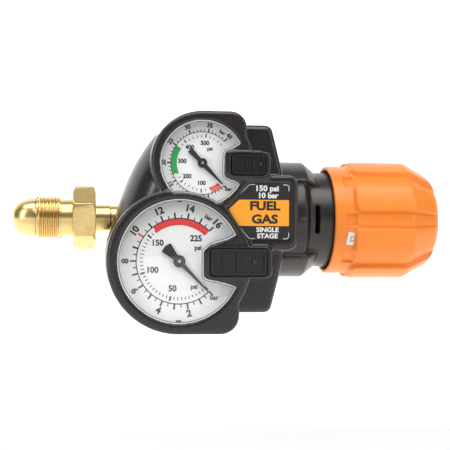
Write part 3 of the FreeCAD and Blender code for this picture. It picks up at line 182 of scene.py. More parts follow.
def moulded(name, color, roughness, grain=2.2, depth=0.012, spread=0.10, specular=0.5):
    """Moulded plastic: fine spark-eroded grain, and a slow change of gloss from the mould."""
    made = Finish(name, color, roughness, specular=specular)
    fine = made.noise(grain, 2.0)
    slow = made.noise(0.06, 2.0)
    lighter = tuple(min(1.0, c * 1.12 + 0.002) for c in color)
    made.give("Base Color", made.blend(slow.above(0.5, 0.7), rgb(*color), rgb(*lighter)))
    made.give("Roughness", roughness + (fine - 0.5) * spread + (slow - 0.5) * 0.12)
    made.relief(fine, depth, 0.5)
    return made


def plated(name, color, roughness):
    """Zinc or nickel plate: fine brushed marks and a cloudy sheen."""
    made = Finish(name, color, roughness, metallic=1.0)
    brushed = made.noise(3.0, 3.0, (1.0, 0.15, 1.0))
    clouds = made.noise(0.3, 2.0)
    shade = tuple(c * 0.84 for c in color)
    made.give("Base Color", made.blend(clouds, rgb(*color), rgb(*shade)))
    made.give("Roughness", roughness + (brushed - 0.5) * 0.16)
    made.relief(brushed, 0.004, 0.5)
    return made


def printed(name, color, roughness=0.42):
    """Screen-printed ink: a hint of unevenness in tone and gloss."""
    made = Finish(name, color, roughness)
    grain = made.noise(4.0, 2.0)
    faded = tuple(min(1.0, c * 0.92 + 0.01) for c in color)
    made.give("Base Color", made.blend(grain * 0.5, rgb(*color), rgb(*faded)))
    made.give("Roughness", roughness + (grain - 0.5) * 0.1)
    return made


def clear_lens():
    """Clear polycarbonate that lets lamps through to the dial."""
    made = Finish("clear_polycarbonate", (1.0, 1.0, 1.0), 0.02)
    made.give("Transmission Weight", 1.0)
    made.give("IOR", 1.45)
    shadow = made.node("LightPath", output="Is Shadow Ray")
    clear = made.node("BsdfTransparent", {}, {"Color": rgb(0.97, 0.98, 0.98)})
    mixed = made.node("MixShader", {}, {0: shadow, 1: Signal(made, made.shader.outputs[0]), 2: clear})
    made.tree.links.new(mixed.socket, made.output.inputs[0])
    return made


brass_x = turned_brass("turned_brass_inlet", "X", (0.80, 0.60, 0.27))
brass_y = turned_brass("turned_brass_outlet", "Y", (0.86, 0.66, 0.34))
body_brass = cast_brass("forged_brass", (0.78, 0.57, 0.27))
bronze = plated("bronze", (0.60, 0.38, 0.20), 0.36)
movement_brass = plated("stamped_brass", (0.80, 0.62, 0.32), 0.30)
spring_steel = plated("oiled_spring_steel", (0.42, 0.42, 0.44), 0.34)
zinc = plated("zinc_plate", (0.68, 0.69, 0.70), 0.30)
pressed_steel = plated("pressed_steel", (0.58, 0.58, 0.58), 0.36)
seat_white = moulded("seat_polymer", (0.80, 0.79, 0.73), 0.5)
rubber = moulded("diaphragm_rubber", (0.03, 0.03, 0.03), 0.75, 1.4, 0.03)
cover_black = moulded("cover_black", (0.0130, 0.0100, 0.0090), 0.26, 2.4, 0.008, 0.08, specular=0.6)
bonnet_black = moulded("bonnet_black", (0.0150, 0.0115, 0.0100), 0.32, 1.6, 0.012, 0.12, specular=0.6)
clip_black = moulded("clip_black", (0.009, 0.0085, 0.009), 0.28, 3.0, 0.008)
knob_orange = moulded("knob_orange", (0.86, 0.235, 0.022), 0.36, 2.0, 0.012, 0.10)
dial_white = printed("dial_enamel", (0.80, 0.80, 0.79), 0.40)
ink_black = printed("dial_black_ink", (0.012, 0.012, 0.012))
ink_red = printed("dial_red_ink", (0.78, 0.030, 0.035))
ink_green = printed("dial_green_ink", (0.02, 0.36, 0.08))
pointer_black = printed("pointer_black", (0.010, 0.010, 0.010), 0.36)
label_orange = printed("label_orange", (0.94, 0.36, 0.02), 0.38)
label_black = printed("label_black", (0.012, 0.012, 0.012), 0.36)
label_white = printed("label_white", (0.84, 0.83, 0.80), 0.40)
sticker_white = printed("sticker_white", (0.86, 0.86, 0.84), 0.45)
sticker_grey = printed("sticker_grey", (0.30, 0.31, 0.33), 0.45)
# Pale and dark rings along the lens rims: a painted highlight and a painted shade line.
painted_highlight_rim = printed("lens_rim_painted_highlight", (0.72, 0.72, 0.73), 0.2)
shaded_edge = printed("shaded_lens_edge", (0.16, 0.16, 0.17), 0.2)
black_zinc = plated("blackened_zinc", (0.10, 0.10, 0.11), 0.35)
lens_clear = clear_lens()


# ------------------------------------------------------------------ shaping
def piece(name, shape, finish, body, stands_for=(), smooth=35.0):
    """Turns a bmesh in millimetres into a finished piece that rides on a body."""
    bmesh.ops.scale(shape, vec=(MM, MM, MM), verts=shape.verts)
    mesh = bpy.data.meshes.new(name)
    shape.to_mesh(mesh)
    shape.free()
    return piece_of(name, mesh, finish, body, stands_for, smooth)


def piece_of(name, mesh, finish, body, stands_for=(), smooth=35.0):
    """Makes a piece of a mesh that is already in metres."""
    mesh.name = name
    mesh.materials.clear()
    mesh.materials.append(finish.material)
    mesh.shade_smooth()
    mesh.set_sharp_from_angle(angle=math.radians(smooth))
    made = bpy.data.objects.new(name, mesh)
    bpy.context.scene.collection.objects.link(made)
    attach(made, body)
    if stands_for:
        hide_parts(*stands_for)
    return made


def tidy(shape, gap=0.0005):
    """Merges doubled points, drops empty edges and turns the faces outwards."""
    bmesh.ops.remove_doubles(shape, verts=shape.verts, dist=gap)
    bmesh.ops.dissolve_degenerate(shape, edges=shape.edges, dist=gap)
    bmesh.ops.recalc_face_normals(shape, faces=shape.faces)
    return shape


def swing(shape, *turns):
    """Turns a bmesh about the origin: each turn is (degrees, axis)."""
    for degrees, axis in turns:
        matrix = Matrix.Rotation(math.radians(degrees), 3, axis)
        bmesh.ops.rotate(shape, cent=(0, 0, 0), matrix=matrix, verts=shape.verts)


def lathe(profile, axis="X", steps=128, at=(0.0, 0.0, 0.0)):
    """Spins a closed list of (station, radius) round an axis."""
    shape = bmesh.new()
    along = AXES[axis]
    verts = [shape.verts.new(Vector(at) + along * s + AXES["Z"] * r) for s, r in profile]
    edges = [shape.edges.new((a, b)) for a, b in zip(verts, verts[1:] + verts[:1])]
    bmesh.ops.spin(shape, geom=verts + edges, cent=at, axis=along, dvec=(0, 0, 0), angle=math.tau, steps=steps,
                   use_merge=True, use_duplicate=False)
    return tidy(shape)


def rounded(points, segments=4):
    """Rounds the marked corners of a lathe profile: each point is (station, radius) or (station, radius, round)."""
    flat = bmesh.new()
    verts = [flat.verts.new((p[0], p[1], 0)) for p in points]
    flat.faces.new(verts)
    for vert, point in zip(verts, points):
        if len(point) > 2:
            bmesh.ops.bevel(flat, geom=[vert], offset=point[2], offset_type="OFFSET", affect="VERTICES",
                            segments=segments, profile=0.5, material=-1)
    flat.faces.ensure_lookup_table()
    loop = [(l.vert.co.x, l.vert.co.y) for l in flat.faces[0].loops]
    flat.free()
    return loop


def plate(corners, front, back):
    """A plate with an outline of (x, z, round) corners, from its front face back along +Y."""
    shape = bmesh.new()
    verts = [shape.verts.new((x, front, z)) for x, z, _ in corners]
    shape.faces.new(verts)
    for i, (vert, (x, z, radius)) in enumerate(zip(verts, corners)):
        before = Vector(corners[i - 1][:2]) - Vector((x, z))
        after = Vector(corners[(i + 1) % len(corners)][:2]) - Vector((x, z))
        half = (math.pi - before.angle(after)) / 2
        bmesh.ops.bevel(shape, geom=[vert], offset=radius * math.tan(half), offset_type="OFFSET",
                        affect="VERTICES", segments=6, profile=0.5, material=-1)
    grown = bmesh.ops.extrude_face_region(shape, geom=shape.faces[:])
    moved = [g for g in grown["geom"] if isinstance(g, bmesh.types.BMVert)]
    bmesh.ops.translate(shape, vec=(0, back - front, 0), verts=moved)
    return tidy(shape)


def joined(shapes):
    """One bmesh of several."""
    whole = bmesh.new()
    scratch = bpy.data.meshes.new("scratch")
    for shape in shapes:
        shape.to_mesh(scratch)
        whole.from_mesh(scratch)
        shape.free()
    bpy.data.meshes.remove(scratch)
    return whole


def settled(mesh, changes):
    """A mesh with modifiers applied: changes is a list of (kind, settings)."""
    holder = bpy.data.objects.new("holder", mesh)
    bpy.context.scene.collection.objects.link(holder)
    for i, (kind, settings) in enumerate(changes):
        modifier = holder.modifiers.new(f"step_{i}", kind)
        for key, value in settings.items():
            setattr(modifier, key, value)
    bpy.context.view_layer.update()
    graph = bpy.context.evaluated_depsgraph_get()
    result = bpy.data.meshes.new_from_object(holder.evaluated_get(graph), depsgraph=graph)
    bpy.data.objects.remove(holder)
    return result


def softened(node, voxel, rounds, keep):
    """The CAD node's own shape with its edges rounded off, as a moulding or a casting has them."""
    shape = bmesh.new()
    shape.from_mesh(frame["nodes"][node].data)
    bmesh.ops.remove_doubles(shape, verts=shape.verts, dist=1e-6)
    mesh = bpy.data.meshes.new(node + "_soft")
    shape.to_mesh(mesh)
    shape.free()
    mesh = settled(mesh, [("REMESH", {"mode": "VOXEL", "voxel_size": voxel * MM, "adaptivity": 0.0})])
    return settled(mesh, [("SMOOTH", {"factor": 0.5, "iterations": rounds}), ("DECIMATE", {"ratio": keep})])


def carve(shape, tool, operation):
    """Boolean of two closed bmeshes in millimetres, as a new bmesh."""
    mesh = bpy.data.meshes.new("carved")
    shape.to_mesh(mesh)
    tool_mesh = bpy.data.meshes.new("tool")
    tool.to_mesh(tool_mesh)
    cutter = bpy.data.objects.new("cutter", tool_mesh)
    bpy.context.scene.collection.objects.link(cutter)
    result = settled(mesh, [("BOOLEAN", {"operation": operation, "object": cutter, "solver": "EXACT"})])
    bpy.data.objects.remove(cutter)
    out = bmesh.new()
    out.from_mesh(result)
    shape.free()
    tool.free()
    return out


PRINT_HEIGHT = 0.03


def lettering(text, size, x, z, y, turn=0.0, weight=0.0, squeeze=1.0):
    """A word or number as a thin raised print, facing -Y."""
    curve = bpy.data.curves.new("lettering", "FONT")
    curve.body = text
    curve.size = size
    curve.align_x = curve.align_y = "CENTER"
    curve.offset = weight
    curve.resolution_u = 3
    curve.extrude = PRINT_HEIGHT
    holder = bpy.data.objects.new("lettering", curve)
    bpy.context.scene.collection.objects.link(holder)
    bpy.context.view_layer.update()
    graph = bpy.context.evaluated_depsgraph_get()
    mesh = bpy.data.meshes.new_from_object(holder.evaluated_get(graph), depsgraph=graph)
    bpy.data.objects.remove(holder)
    shape = bmesh.new()
    shape.from_mesh(mesh)
    bmesh.ops.scale(shape, vec=(squeeze, 1, 1), verts=shape.verts)
    swing(shape, (turn, "Z"), (90.0, "X"))
    bmesh.ops.translate(shape, vec=(x, y, z), verts=shape.verts)
    return shape


# ------------------------------------------------------------------ inlet nut and gland
THREAD_R = 11.24
THREAD_PITCH = 1.814
THREAD_END = 3.4 * THREAD_PITCH
HEX_START = THREAD_END + 6.0
HEX_END = HEX_START + 11.8
HEX_FLATS = 28.6
NUT_BORE = 7.26
DEPTH_RATIO = 0.613  # depth of a 60-degree thread over its pitch
ROOT = 0.25  # how far the ridge reaches into the core
CHAMFER = 0.98  # of the flats, at both ends of the hexagon


def screw_thread(start, end, radius, pitch, steps=72):
    """The left-hand helical ridge of a thread over a core along X, with its ends faded into the chamfers."""
    shape = bmesh.new()
    depth = DEPTH_RATIO * pitch
    turns = (end - start) / pitch - 0.3
    first = start - 0.3 * pitch
    ridge = [(0.0, -depth - ROOT), (0.06 * pitch, -depth), (0.36 * pitch, -0.03), (0.41 * pitch, 0.0),
             (0.55 * pitch, 0.0), (0.60 * pitch, -0.03), (0.90 * pitch, -depth), (0.96 * pitch, -depth - ROOT)]
    verts = [shape.verts.new((first + s, 0.0, radius + r)) for s, r in ridge]
    face = shape.faces.new(verts)
    count = int(round(turns * steps))
    bmesh.ops.spin(shape, geom=[face] + face.edges[:] + verts, cent=(0, 0, 0), axis=AXES["X"],
                   dvec=AXES["X"] * (pitch / steps), angle=-math.tau * count / steps, steps=count,
                   use_merge=False, use_duplicate=False)
    tidy(shape)
    for vert in shape.verts:
        x, reach = vert.co.x, math.hypot(vert.co.y, vert.co.z)
        limit = min(radius, radius - depth + 1.3 * (x - start + 0.15), radius - depth + 1.3 * (end + 0.15 - x))
        limit = max(limit, radius - depth - ROOT)
        if reach > limit:
            vert.co.y *= limit / reach
            vert.co.z *= limit / reach
    return shape


def hexagon_bar(flats, start, end, turn):
    """A hexagonal bar along X with its corners turned off at 30 degrees at both ends."""
    bar = bmesh.new()
    corner = flats / math.sqrt(3.0)
    bmesh.ops.create_cone(bar, cap_ends=True, segments=6, radius1=corner, radius2=corner, depth=end - start)
    swing(bar, (turn, "Z"), (90.0, "Y"))
    bmesh.ops.translate(bar, vec=AXES["X"] * ((start + end) / 2), verts=bar.verts)
    corners = [e for e in bar.edges if abs(e.verts[0].co.x - e.verts[1].co.x) > 1.0]
    bmesh.ops.bevel(bar, geom=corners, offset=0.35, offset_type="OFFSET", affect="EDGES", segments=2,
                    profile=0.5, material=-1)
    face = flats / 2.0 * CHAMFER
    drop = (corner - face) * math.tan(math.radians(30.0))
    barrel = [(start, 0), (start, face), (start + drop, corner + 0.02), (end - drop, corner + 0.02),
              (end, face), (end, 0)]
    return carve(bar, lathe(barrel, "X", 144), "INTERSECT")


def bored(shape, radius, start, end):
    """The shape with a hole along X."""
    return carve(shape, lathe([(start, 0), (start, radius), (end, radius), (end, 0)], "X", 96), "DIFFERENCE")


core_r = THREAD_R - DEPTH_RATIO * THREAD_PITCH
nut_core = lathe(rounded([(-THREAD_END, 7.9), (-THREAD_END, core_r, 0.2), (THREAD_END, core_r),
                          (THREAD_END + 0.05, 9.6, 0.25), (HEX_START + 0.3, 9.6), (HEX_START + 0.3, NUT_BORE),
                          (-THREAD_END + 0.6, NUT_BORE)]))
nut_thread = screw_thread(-THREAD_END, THREAD_END, THREAD_R, THREAD_PITCH)
nut_hex = bored(hexagon_bar(HEX_FLATS, HEX_START, HEX_END, -85.0), NUT_BORE, HEX_START - 1, HEX_END + 1)
piece("inlet_nut_turned", joined([nut_core, nut_thread, nut_hex]), brass_x, "nut", ("inlet_nut",), 28.0)

nose = [(-17.85, 3.9), (-17.85, 4.7, 0.3), (-17.3, 5.6), (-16.4, 6.6), (-15.2, 7.55), (-13.8, 8.35),
        (-12.2, 9.0), (-10.6, 9.45), (-9.0, 9.75), (-7.8, 9.88), (-7.0, 9.9, 0.4), (-6.67, 9.9, 0.15),
        (-6.67, 7.0), (31.4, 7.0, 0.15), (31.9, 6.7), (41.0, 6.7), (41.0, 6.5), (56.0, 6.5), (56.0, 3.2),
        (-16.85, 3.2)]
piece("inlet_gland_turned", lathe(rounded(nose)), brass_x, "regulator", ("inlet_gland",), 30.0)

# ------------------------------------------------------------------ adjusting knob
KNOB_START = 144.7
SKIRT_R = 28.4
LOBE_START = 154.8
LOBE_STEP = 45.0
LOBE_R = 30.0
LOBE_HALF = math.radians(13.5) * LOBE_R  # half the width of a lobe, as an arc
LOBE_LIFT, LINE_DEPTH, POCKET_DEPTH = 2.3, 0.25, 1.3
SHAPED_FROM = 150.0
INSIDE_R = ((182.0, 27.2), (190.0, 24.9), (195.0, 20.5), (math.inf, 12.6))  # up to an x, what is nearer the axis


def smooth_step(value, low, high):
    t = max(0.0, min(1.0, (value - low) / (high - low)))
    return t * t * (3.0 - 2.0 * t)


def knob_generator():
    """Half section of the knob without its lobes, from the rim over the outside and back through the inside."""
    points = [(KNOB_START, 26.9), (KNOB_START, 28.0, 0.3), (KNOB_START + 0.5, SKIRT_R, 0.3)]
    points += [(KNOB_START + 1.5 + 0.5 * i, SKIRT_R) for i in range(18)]
    points += [(x * 0.6 + 155.0, 28.7) for x in range(51)]
    points += [(185.7, 28.62), (186.2, 28.45)] + [(186.8 + 0.68 * i, 28.2 - 0.372 * i) for i in range(20)]
    points += [(200.4, 20.6), (201.1, 19.85), (201.8, 18.8), (202.4, 17.4), (202.85, 15.6), (203.15, 13.4),
               (203.35, 11.2), (203.45, 9.1)]
    points += [(202.1, 9.1), (202.1, 7.1), (198.7, 7.1), (198.7, 2.3), (197.1, 2.3),
               (197.1, 10.52), (185.0, 10.52), (185.0, 14.0), (194.0, 14.0), (194.0, 17.0), (185.0, 23.3),
               (180.0, 26.3), (KNOB_START + 0.8, 26.3)]
    return rounded(points, segments=3)


def off_middle(angle, middle):
    """Angle from the nearest middle of a lobe or a valley, in degrees."""
    return abs((angle - middle + LOBE_STEP / 2) % LOBE_STEP - LOBE_STEP / 2)


def lobe_mask(x, angle):
    """1 on a lobe and 0 in a valley, with tight shoulders; one valley faces straight up."""
    arc = math.radians(off_middle(angle, LOBE_STEP / 2)) * LOBE_R
    side = 1.0 - smooth_step(arc, LOBE_HALF - 0.35, LOBE_HALF + 0.55)
    corner = max(0.0, arc - LOBE_HALF + 3.0) ** 2 * 0.22
    front = smooth_step(x - corner, LOBE_START - 0.2, LOBE_START + 1.2)
    return side * front * (1.0 - 0.75 * smooth_step(x, 198.0, 203.2))


def valley_line(x, angle):
    """Fine groove along both feet of each lobe, which the mould leaves crisp."""
    arc = math.radians(off_middle(angle, LOBE_STEP / 2)) * LOBE_R
    groove = max(0.0, 1.0 - abs(arc - (LOBE_HALF + 0.75)) / 0.55)
    return groove * smooth_step(x, LOBE_START, LOBE_START + 1.5) * (1.0 - smooth_step(x, 199.0, 202.0))


def valley_pocket(x, angle):
    """Deeper hollow at the skirt end of each valley."""
    arc = math.radians(off_middle(angle, 0.0)) * 29.0
    across = 1.0 - smooth_step(arc, 2.9, 3.6)
    return across * smooth_step(x, 150.3, 151.0) * (1.0 - smooth_step(x, 155.8, 156.6))


def shaped_knob():
    """The knob with its lobes, their foot lines and the valley pockets; its inside stays as it is turned."""
    shape = lathe(knob_generator(), "X", 432)
    for vert in shape.verts:
        radius = math.hypot(vert.co.y, vert.co.z)
        x = vert.co.x
        if x < SHAPED_FROM or radius < next(r for end, r in INSIDE_R if x < end):
            continue
        angle = math.degrees(math.atan2(vert.co.z, -vert.co.y))
        lift = LOBE_LIFT * lobe_mask(x, angle) - LINE_DEPTH * valley_line(x, angle)
        lift -= POCKET_DEPTH * valley_pocket(x, angle)
        scale = (radius + lift) / radius
        vert.co.y *= scale
        vert.co.z *= scale
    bmesh.ops.recalc_face_normals(shape, faces=shape.faces)
    return shape


piece("knob_moulding", shaped_knob(), knob_orange, "knob", ("adjusting_knob",), 50.0)

cap = lathe(rounded([(202.1, 0), (202.1, 9.0), (203.9, 9.0, 0.3), (204.4, 8.4, 0.3), (204.6, 6.0), (204.7, 3.0),
                     (204.75, 0)]), "X", 96)
piece("knob_end_cap", cap, knob_orange, "knob", ("knob_cap",), 40.0)


STICKER_TURN = -7.0


def knob_sticker(width, height, radius, thickness, x, z):
    """Small label bent round the skirt; its centre is at (x, z)."""
    shape = bmesh.new()
    bmesh.ops.create_grid(shape, x_segments=6, y_segments=12, size=0.5)
    bmesh.ops.scale(shape, vec=(width, height, 1), verts=shape.verts)
    swing(shape, (STICKER_TURN, "Z"), (90.0, "X"))
    bmesh.ops.translate(shape, vec=(x, 0, z), verts=shape.verts)
    for vert in shape.verts:
        angle = vert.co.z / radius
        vert.co.y = -radius * math.cos(angle)
        vert.co.z = radius * math.sin(angle)
    bmesh.ops.recalc_face_normals(shape, faces=shape.faces)
    mesh = bpy.data.meshes.new("sticker")
    shape.to_mesh(mesh)
    shape.free()
    thick = settled(mesh, [("SOLIDIFY", {"thickness": thickness, "offset": 0.0})])
    shape = bmesh.new()
    shape.from_mesh(thick)
    return shape


piece("knob_sticker", knob_sticker(5.4, 6.8, 28.55, 0.16, 153.9, -10.0), sticker_white, "knob")
marks = [knob_sticker(width, height, 28.66, 0.1, x, z) for width, height, x, z in
         ((0.5, 3.0, 152.9, -10.0), (0.5, 3.0, 154.9, -10.0), (1.6, 0.5, 153.9, -8.9), (1.6, 0.5, 153.9, -11.1))]
piece("knob_sticker_mark", joined(marks), sticker_grey, "knob")


# ------------------------------------------------------------------ moulded cover, bonnet and body
def domed(corners, start, reach, centre, steps=10, inward=0.62, stand=12.0, arc=84.0):
    """Pillow over an outline of (x, z) corners: its edge stands straight back, its front swells towards -Y."""
    shape = bmesh.new()
    sheet = shape.faces.new([shape.verts.new((x, start, z)) for x, z in corners])
    before = (1.0, 0.0)
    for i in range(steps + 1):
        turn = math.radians(arc * i / steps)
        now = (1.0 - inward * (1.0 - math.cos(turn)), math.sin(turn) * reach + stand)
        grown = bmesh.ops.extrude_face_region(shape, geom=[sheet])["geom"]
        if i > 0:
            bmesh.ops.delete(shape, geom=[sheet], context="FACES_ONLY")
        sheet = [g for g in grown if isinstance(g, bmesh.types.BMFace)][0]
        ratio = now[0] / before[0]
        for vert in sheet.verts:
            vert.co.x = centre[0] + (vert.co.x - centre[0]) * ratio
            vert.co.z = centre[1] + (vert.co.z - centre[1]) * ratio
            vert.co.y = start - now[1]
        before = now
    bmesh.ops.remove_doubles(shape, verts=shape.verts, dist=0.0005)
    bmesh.ops.recalc_face_normals(shape, faces=shape.faces)
    return shape


def cover_shoulder():
    """Swelling of the cover between its two cups, on the inlet side."""
    edge = [corner[:2] for corner in rounded([(66.0, 44.0), (53.5, 42.5, 3.0), (47.4, 34.0, 4.5), (42.0, 24.5, 4.5),
            (37.0, 12.0, 5.0), (33.4, 1.0, 4.5), (30.2, -10.0, 4.5), (31.0, -20.0), (64.0, -24.0)], segments=5)]
    shape = domed(edge, -9.0, 26.0, (70.0, 8.0))
    for (x, z), radius in ((DELIVERY, 33.6), (INLET, 23.6)):
        cup = lathe([(5.0, 0.0), (5.0, radius), (-60.0, radius), (-60.0, 0.0)], "Y", 96, (x, 0.0, z))
        shape = carve(shape, cup, "DIFFERENCE")
    return shape


piece_of("cover_moulding", softened("front_cover", 0.62, 6, 0.62), cover_black, "regulator",
         ("front_cover",), 60.0)
piece("cover_shoulder", cover_shoulder(), cover_black, "regulator", (), 50.0)
piece_of("bonnet_casting", softened("bonnet", 0.5, 4, 0.8), bonnet_black, "regulator",
         ("bonnet",), 60.0)
piece_of("body_forging", softened("body_casting", 0.6, 3, 0.8), body_brass, "regulator",
         ("body_casting",), 60.0)


# ------------------------------------------------------------------ springs and diaphragm
def yielding(node, name, finish):
    """The CAD node's own shape, made into a piece with its own mesh.
    """
    shape = bmesh.new()
    shape.from_mesh(frame["nodes"][node].data)
    bmesh.ops.remove_doubles(shape, verts=shape.verts, dist=1e-6)
    mesh = bpy.data.meshes.new(name)
    shape.to_mesh(mesh)
    shape.free()
    pressed = piece_of(name, mesh, finish, "regulator", (node,), 50.0)
    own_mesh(pressed)


yielding("load_spring", "load_spring_coils", spring_steel)
yielding("valve_spring", "valve_spring_coils", spring_steel)
yielding("relief_spring", "relief_spring_coils", spring_steel)
yielding("diaphragm", "diaphragm_disc", rubber)

# ------------------------------------------------------------------ dials
DIAL_FACE = -45.5
LARGE_BAR, SMALL_BAR = 16.0, 40.0  # where the two bar scales end
PSI_PER_BAR = 14.50375
LARGE_PSI, SMALL_PSI = LARGE_BAR * PSI_PER_BAR, SMALL_BAR * PSI_PER_BAR


class Dial:
    """A pressure dial: its centre and its prints, by ink. Angles are anticlockwise from the right, in degrees."""

    def __init__(self, name, x, z):
        self.name = name
        self.x = x
        self.z = z
        self.inks = {}

    def add(self, ink, shape):
        self.inks.setdefault(ink, []).append(shape)

    def point(self, radius, angle):
        a = math.radians(angle)
        return self.x + radius * math.cos(a), self.z + radius * math.sin(a)

    def tick(self, ink, angle, inner, outer, width, lift=0.05):
        shape = bmesh.new()
        bmesh.ops.create_cube(shape, size=1.0)
        bmesh.ops.scale(shape, vec=(outer - inner, lift, width), verts=shape.verts)
        bmesh.ops.translate(shape, vec=((inner + outer) / 2, 0, 0), verts=shape.verts)
        swing(shape, (-angle, "Y"))
        bmesh.ops.translate(shape, vec=(self.x, DIAL_FACE - lift / 2, self.z), verts=shape.verts)
        self.add(ink, shape)

    def band(self, ink, start, end, inner, outer, lift=0.04):
        """A curved band from the start angle anticlockwise to the end angle."""
        shape = bmesh.new()
        verts = [shape.verts.new((r, DIAL_FACE - y, 0)) for r, y in ((inner, -0.01), (outer, -0.01), (outer, lift),
                                                                     (inner, lift))]
        face = shape.faces.new(verts)
        steps = max(2, int(abs(end - start) / 2.5))
        swing(shape, (-start, "Y"))
        bmesh.ops.spin(shape, geom=[face] + face.edges[:] + verts, cent=(0, 0, 0), axis=(0, 1, 0), dvec=(0, 0, 0),
                       angle=-math.radians(end - start), steps=steps, use_merge=False, use_duplicate=False)
        bmesh.ops.translate(shape, vec=(self.x, 0, self.z), verts=shape.verts)
        tidy(shape)
        self.add(ink, shape)

    def word(self, ink, text, size, radius, angle, weight=0.0, squeeze=1.0, turn=0.0, shift=(0.0, 0.0)):
        x, z = self.point(radius, angle)
        self.add(ink, lettering(text, size, x + shift[0], z + shift[1], DIAL_FACE - 0.02, turn=turn, weight=weight,
                                squeeze=squeeze))

    def number(self, ink, value, size, radius, angle, weight=0.0, squeeze=1.0):
        """A number that leans with its scale: its top faces outwards above the centre and inwards below it."""
        above = math.sin(math.radians(angle)) > -0.2
        self.word(ink, str(value), size, radius, angle, weight, squeeze, turn=angle + (-90.0 if above else 90.0))

    def finish(self, slot):
        for ink, shapes in self.inks.items():
            piece(f"{self.name}_{ink.material.name}", joined(shapes), ink, "regulator")


def value_angle(value, top):
    """Where a value sits: 0 at the lower right, then clockwise over 270 degrees to the top of the scale."""
    return -45.0 - 270.0 * value / top


large = Dial("delivery_dial", *DELIVERY)
for i in range(33):
    major = i % 2 == 0
    large.tick(ink_black, value_angle(i * 0.5, LARGE_BAR), 20.7, 23.4 if major else 22.3, 0.85 if major else 0.5)
large.band(ink_black, 45.0, 315.0, 20.35, 20.85)
for value in range(2, 17, 2):
    large.number(ink_black, value, 4.6, 25.7, value_angle(value, LARGE_BAR), 0.2, 1.0)
for i in range(47):
    angle = value_angle(i * 5.0, LARGE_PSI)
    if angle < -232.0:
        break
    major = i % 10 == 0
    large.tick(ink_black, angle, 17.3, 19.6 if major else 18.8, 0.9 if major else 0.42)
for value in (50, 100, 150, 225):
    large.word(ink_black, str(value), 4.0, 13.6, value_angle(value, LARGE_PSI), 0.15, 0.98)
large.band(ink_red, 45.0, 128.0, 17.3, 20.5, 0.03)
for i in range(32, 47):
    large.tick(ink_black, value_angle(i * 5.0, LARGE_PSI), 17.25, 18.4, 0.16, 0.06)
large.tick(ink_red, value_angle(10.0, LARGE_BAR), 20.9, 23.8, 0.8, 0.07)
large.word(ink_black, "bar", 3.1, 26.2, -45.0, 0.12, shift=(-1.4, 0.9))
large.word(ink_black, "bar", 2.9, 25.2, 56.0, 0.12, turn=-30.0)
large.word(ink_black, "psi", 3.1, 10.6, 40.0, 0.12, shift=(1.0, -0.4))
large.word(ink_black, "psi", 3.1, 14.6, -44.0, 0.12, shift=(-3.2, -2.2))
large.band(ink_red, 0.0, 359.9, 1.75, 2.1, 0.05)
for angle in (90.0, -90.0):
    large.tick(ink_black, angle, 28.4, 29.2, 2.6)
large.finish("dial_face")

small = Dial("inlet_dial", *INLET)
for i in range(41):
    major = i % 5 == 0
    small.tick(ink_black, value_angle(i, SMALL_BAR), 15.2, 17.0 if major else 16.3, 0.7 if major else 0.36)
small.band(ink_black, 45.0, 315.0, 14.95, 15.3)
for value in (15, 20, 25, 30, 35, 40):
    small.number(ink_black, value, 2.9, 18.5, value_angle(value, SMALL_BAR), 0.14, 0.98)
for i in range(30):
    angle = value_angle(i * 20.0, SMALL_PSI)
    small.tick(ink_black, angle, 12.3, 14.2 if i % 5 == 0 else 13.5, 0.6 if i % 5 == 0 else 0.34)
for value in (100, 200, 300, 400, 500):
    small.word(ink_black, str(value), 2.9, 9.7, value_angle(value, SMALL_PSI), 0.13, 0.95)
small.band(ink_green, 146.0, 202.0, 12.2, 15.0, 0.06)
for i in range(6):
    small.tick(ink_red, -52.0 - i * 3.6, 12.2, 15.0, 0.66, 0.07)
small.word(ink_black, "psi", 2.4, 6.4, 80.0, 0.1, shift=(2.6, 0.6))
small.word(ink_black, "bar", 2.4, 17.9, -45.0, 0.1, shift=(0.2, 0.2))
small.word(ink_black, "bar", 2.4, 17.8, 57.0, 0.1, turn=-33.0)
small.band(ink_red, 0.0, 359.9, 1.3, 1.6, 0.05)
small.finish("dial_face")

for side, (x, z), k in (("delivery", DELIVERY, 1.0), ("inlet", INLET, 0.8)):
    pin = lathe(rounded([(-48.35, 0), (-48.35, 0.75 * k, 0.2), (-47.6, 0.8 * k), (-47.6, 0)]), "Y", 32, (x, 0, z))
    piece(side + "_pointer_pin", pin, zinc, side + "_pointer")


def lens_ring(node, front, start, width, height=0.07):
    """A thin raised ring that follows the outline of a lens's front face, from start inwards; used for the painted
    highlight and the painted shade along each window's edge.
    """
    shape = bmesh.new()
    shape.from_mesh(frame["nodes"][node].data)
    bmesh.ops.scale(shape, vec=(1 / MM, 1 / MM, 1 / MM), verts=shape.verts)
    bmesh.ops.remove_doubles(shape, verts=shape.verts, dist=0.001)
    rest = [f for f in shape.faces if abs(f.calc_center_median().y - front) > 0.02 or abs(f.normal.y) < 0.9]
    bmesh.ops.delete(shape, geom=rest, context="FACES")
    bmesh.ops.dissolve_faces(shape, faces=shape.faces[:], use_verts=False)
    if start > 0:
        skirt = bmesh.ops.inset_region(shape, faces=shape.faces[:], thickness=start, use_boundary=True,
                                       use_even_offset=True)["faces"]
        bmesh.ops.delete(shape, geom=skirt, context="FACES")
    inner = shape.faces[:]
    bmesh.ops.inset_region(shape, faces=inner, thickness=width, use_boundary=True, use_even_offset=True)
    bmesh.ops.delete(shape, geom=inner, context="FACES")
    grown = bmesh.ops.extrude_face_region(shape, geom=shape.faces[:])
    moved = [g for g in grown["geom"] if isinstance(g, bmesh.types.BMVert)]
    bmesh.ops.translate(shape, vec=(0, -height, 0), verts=moved)
    bmesh.ops.recalc_face_normals(shape, faces=shape.faces)
    return shape
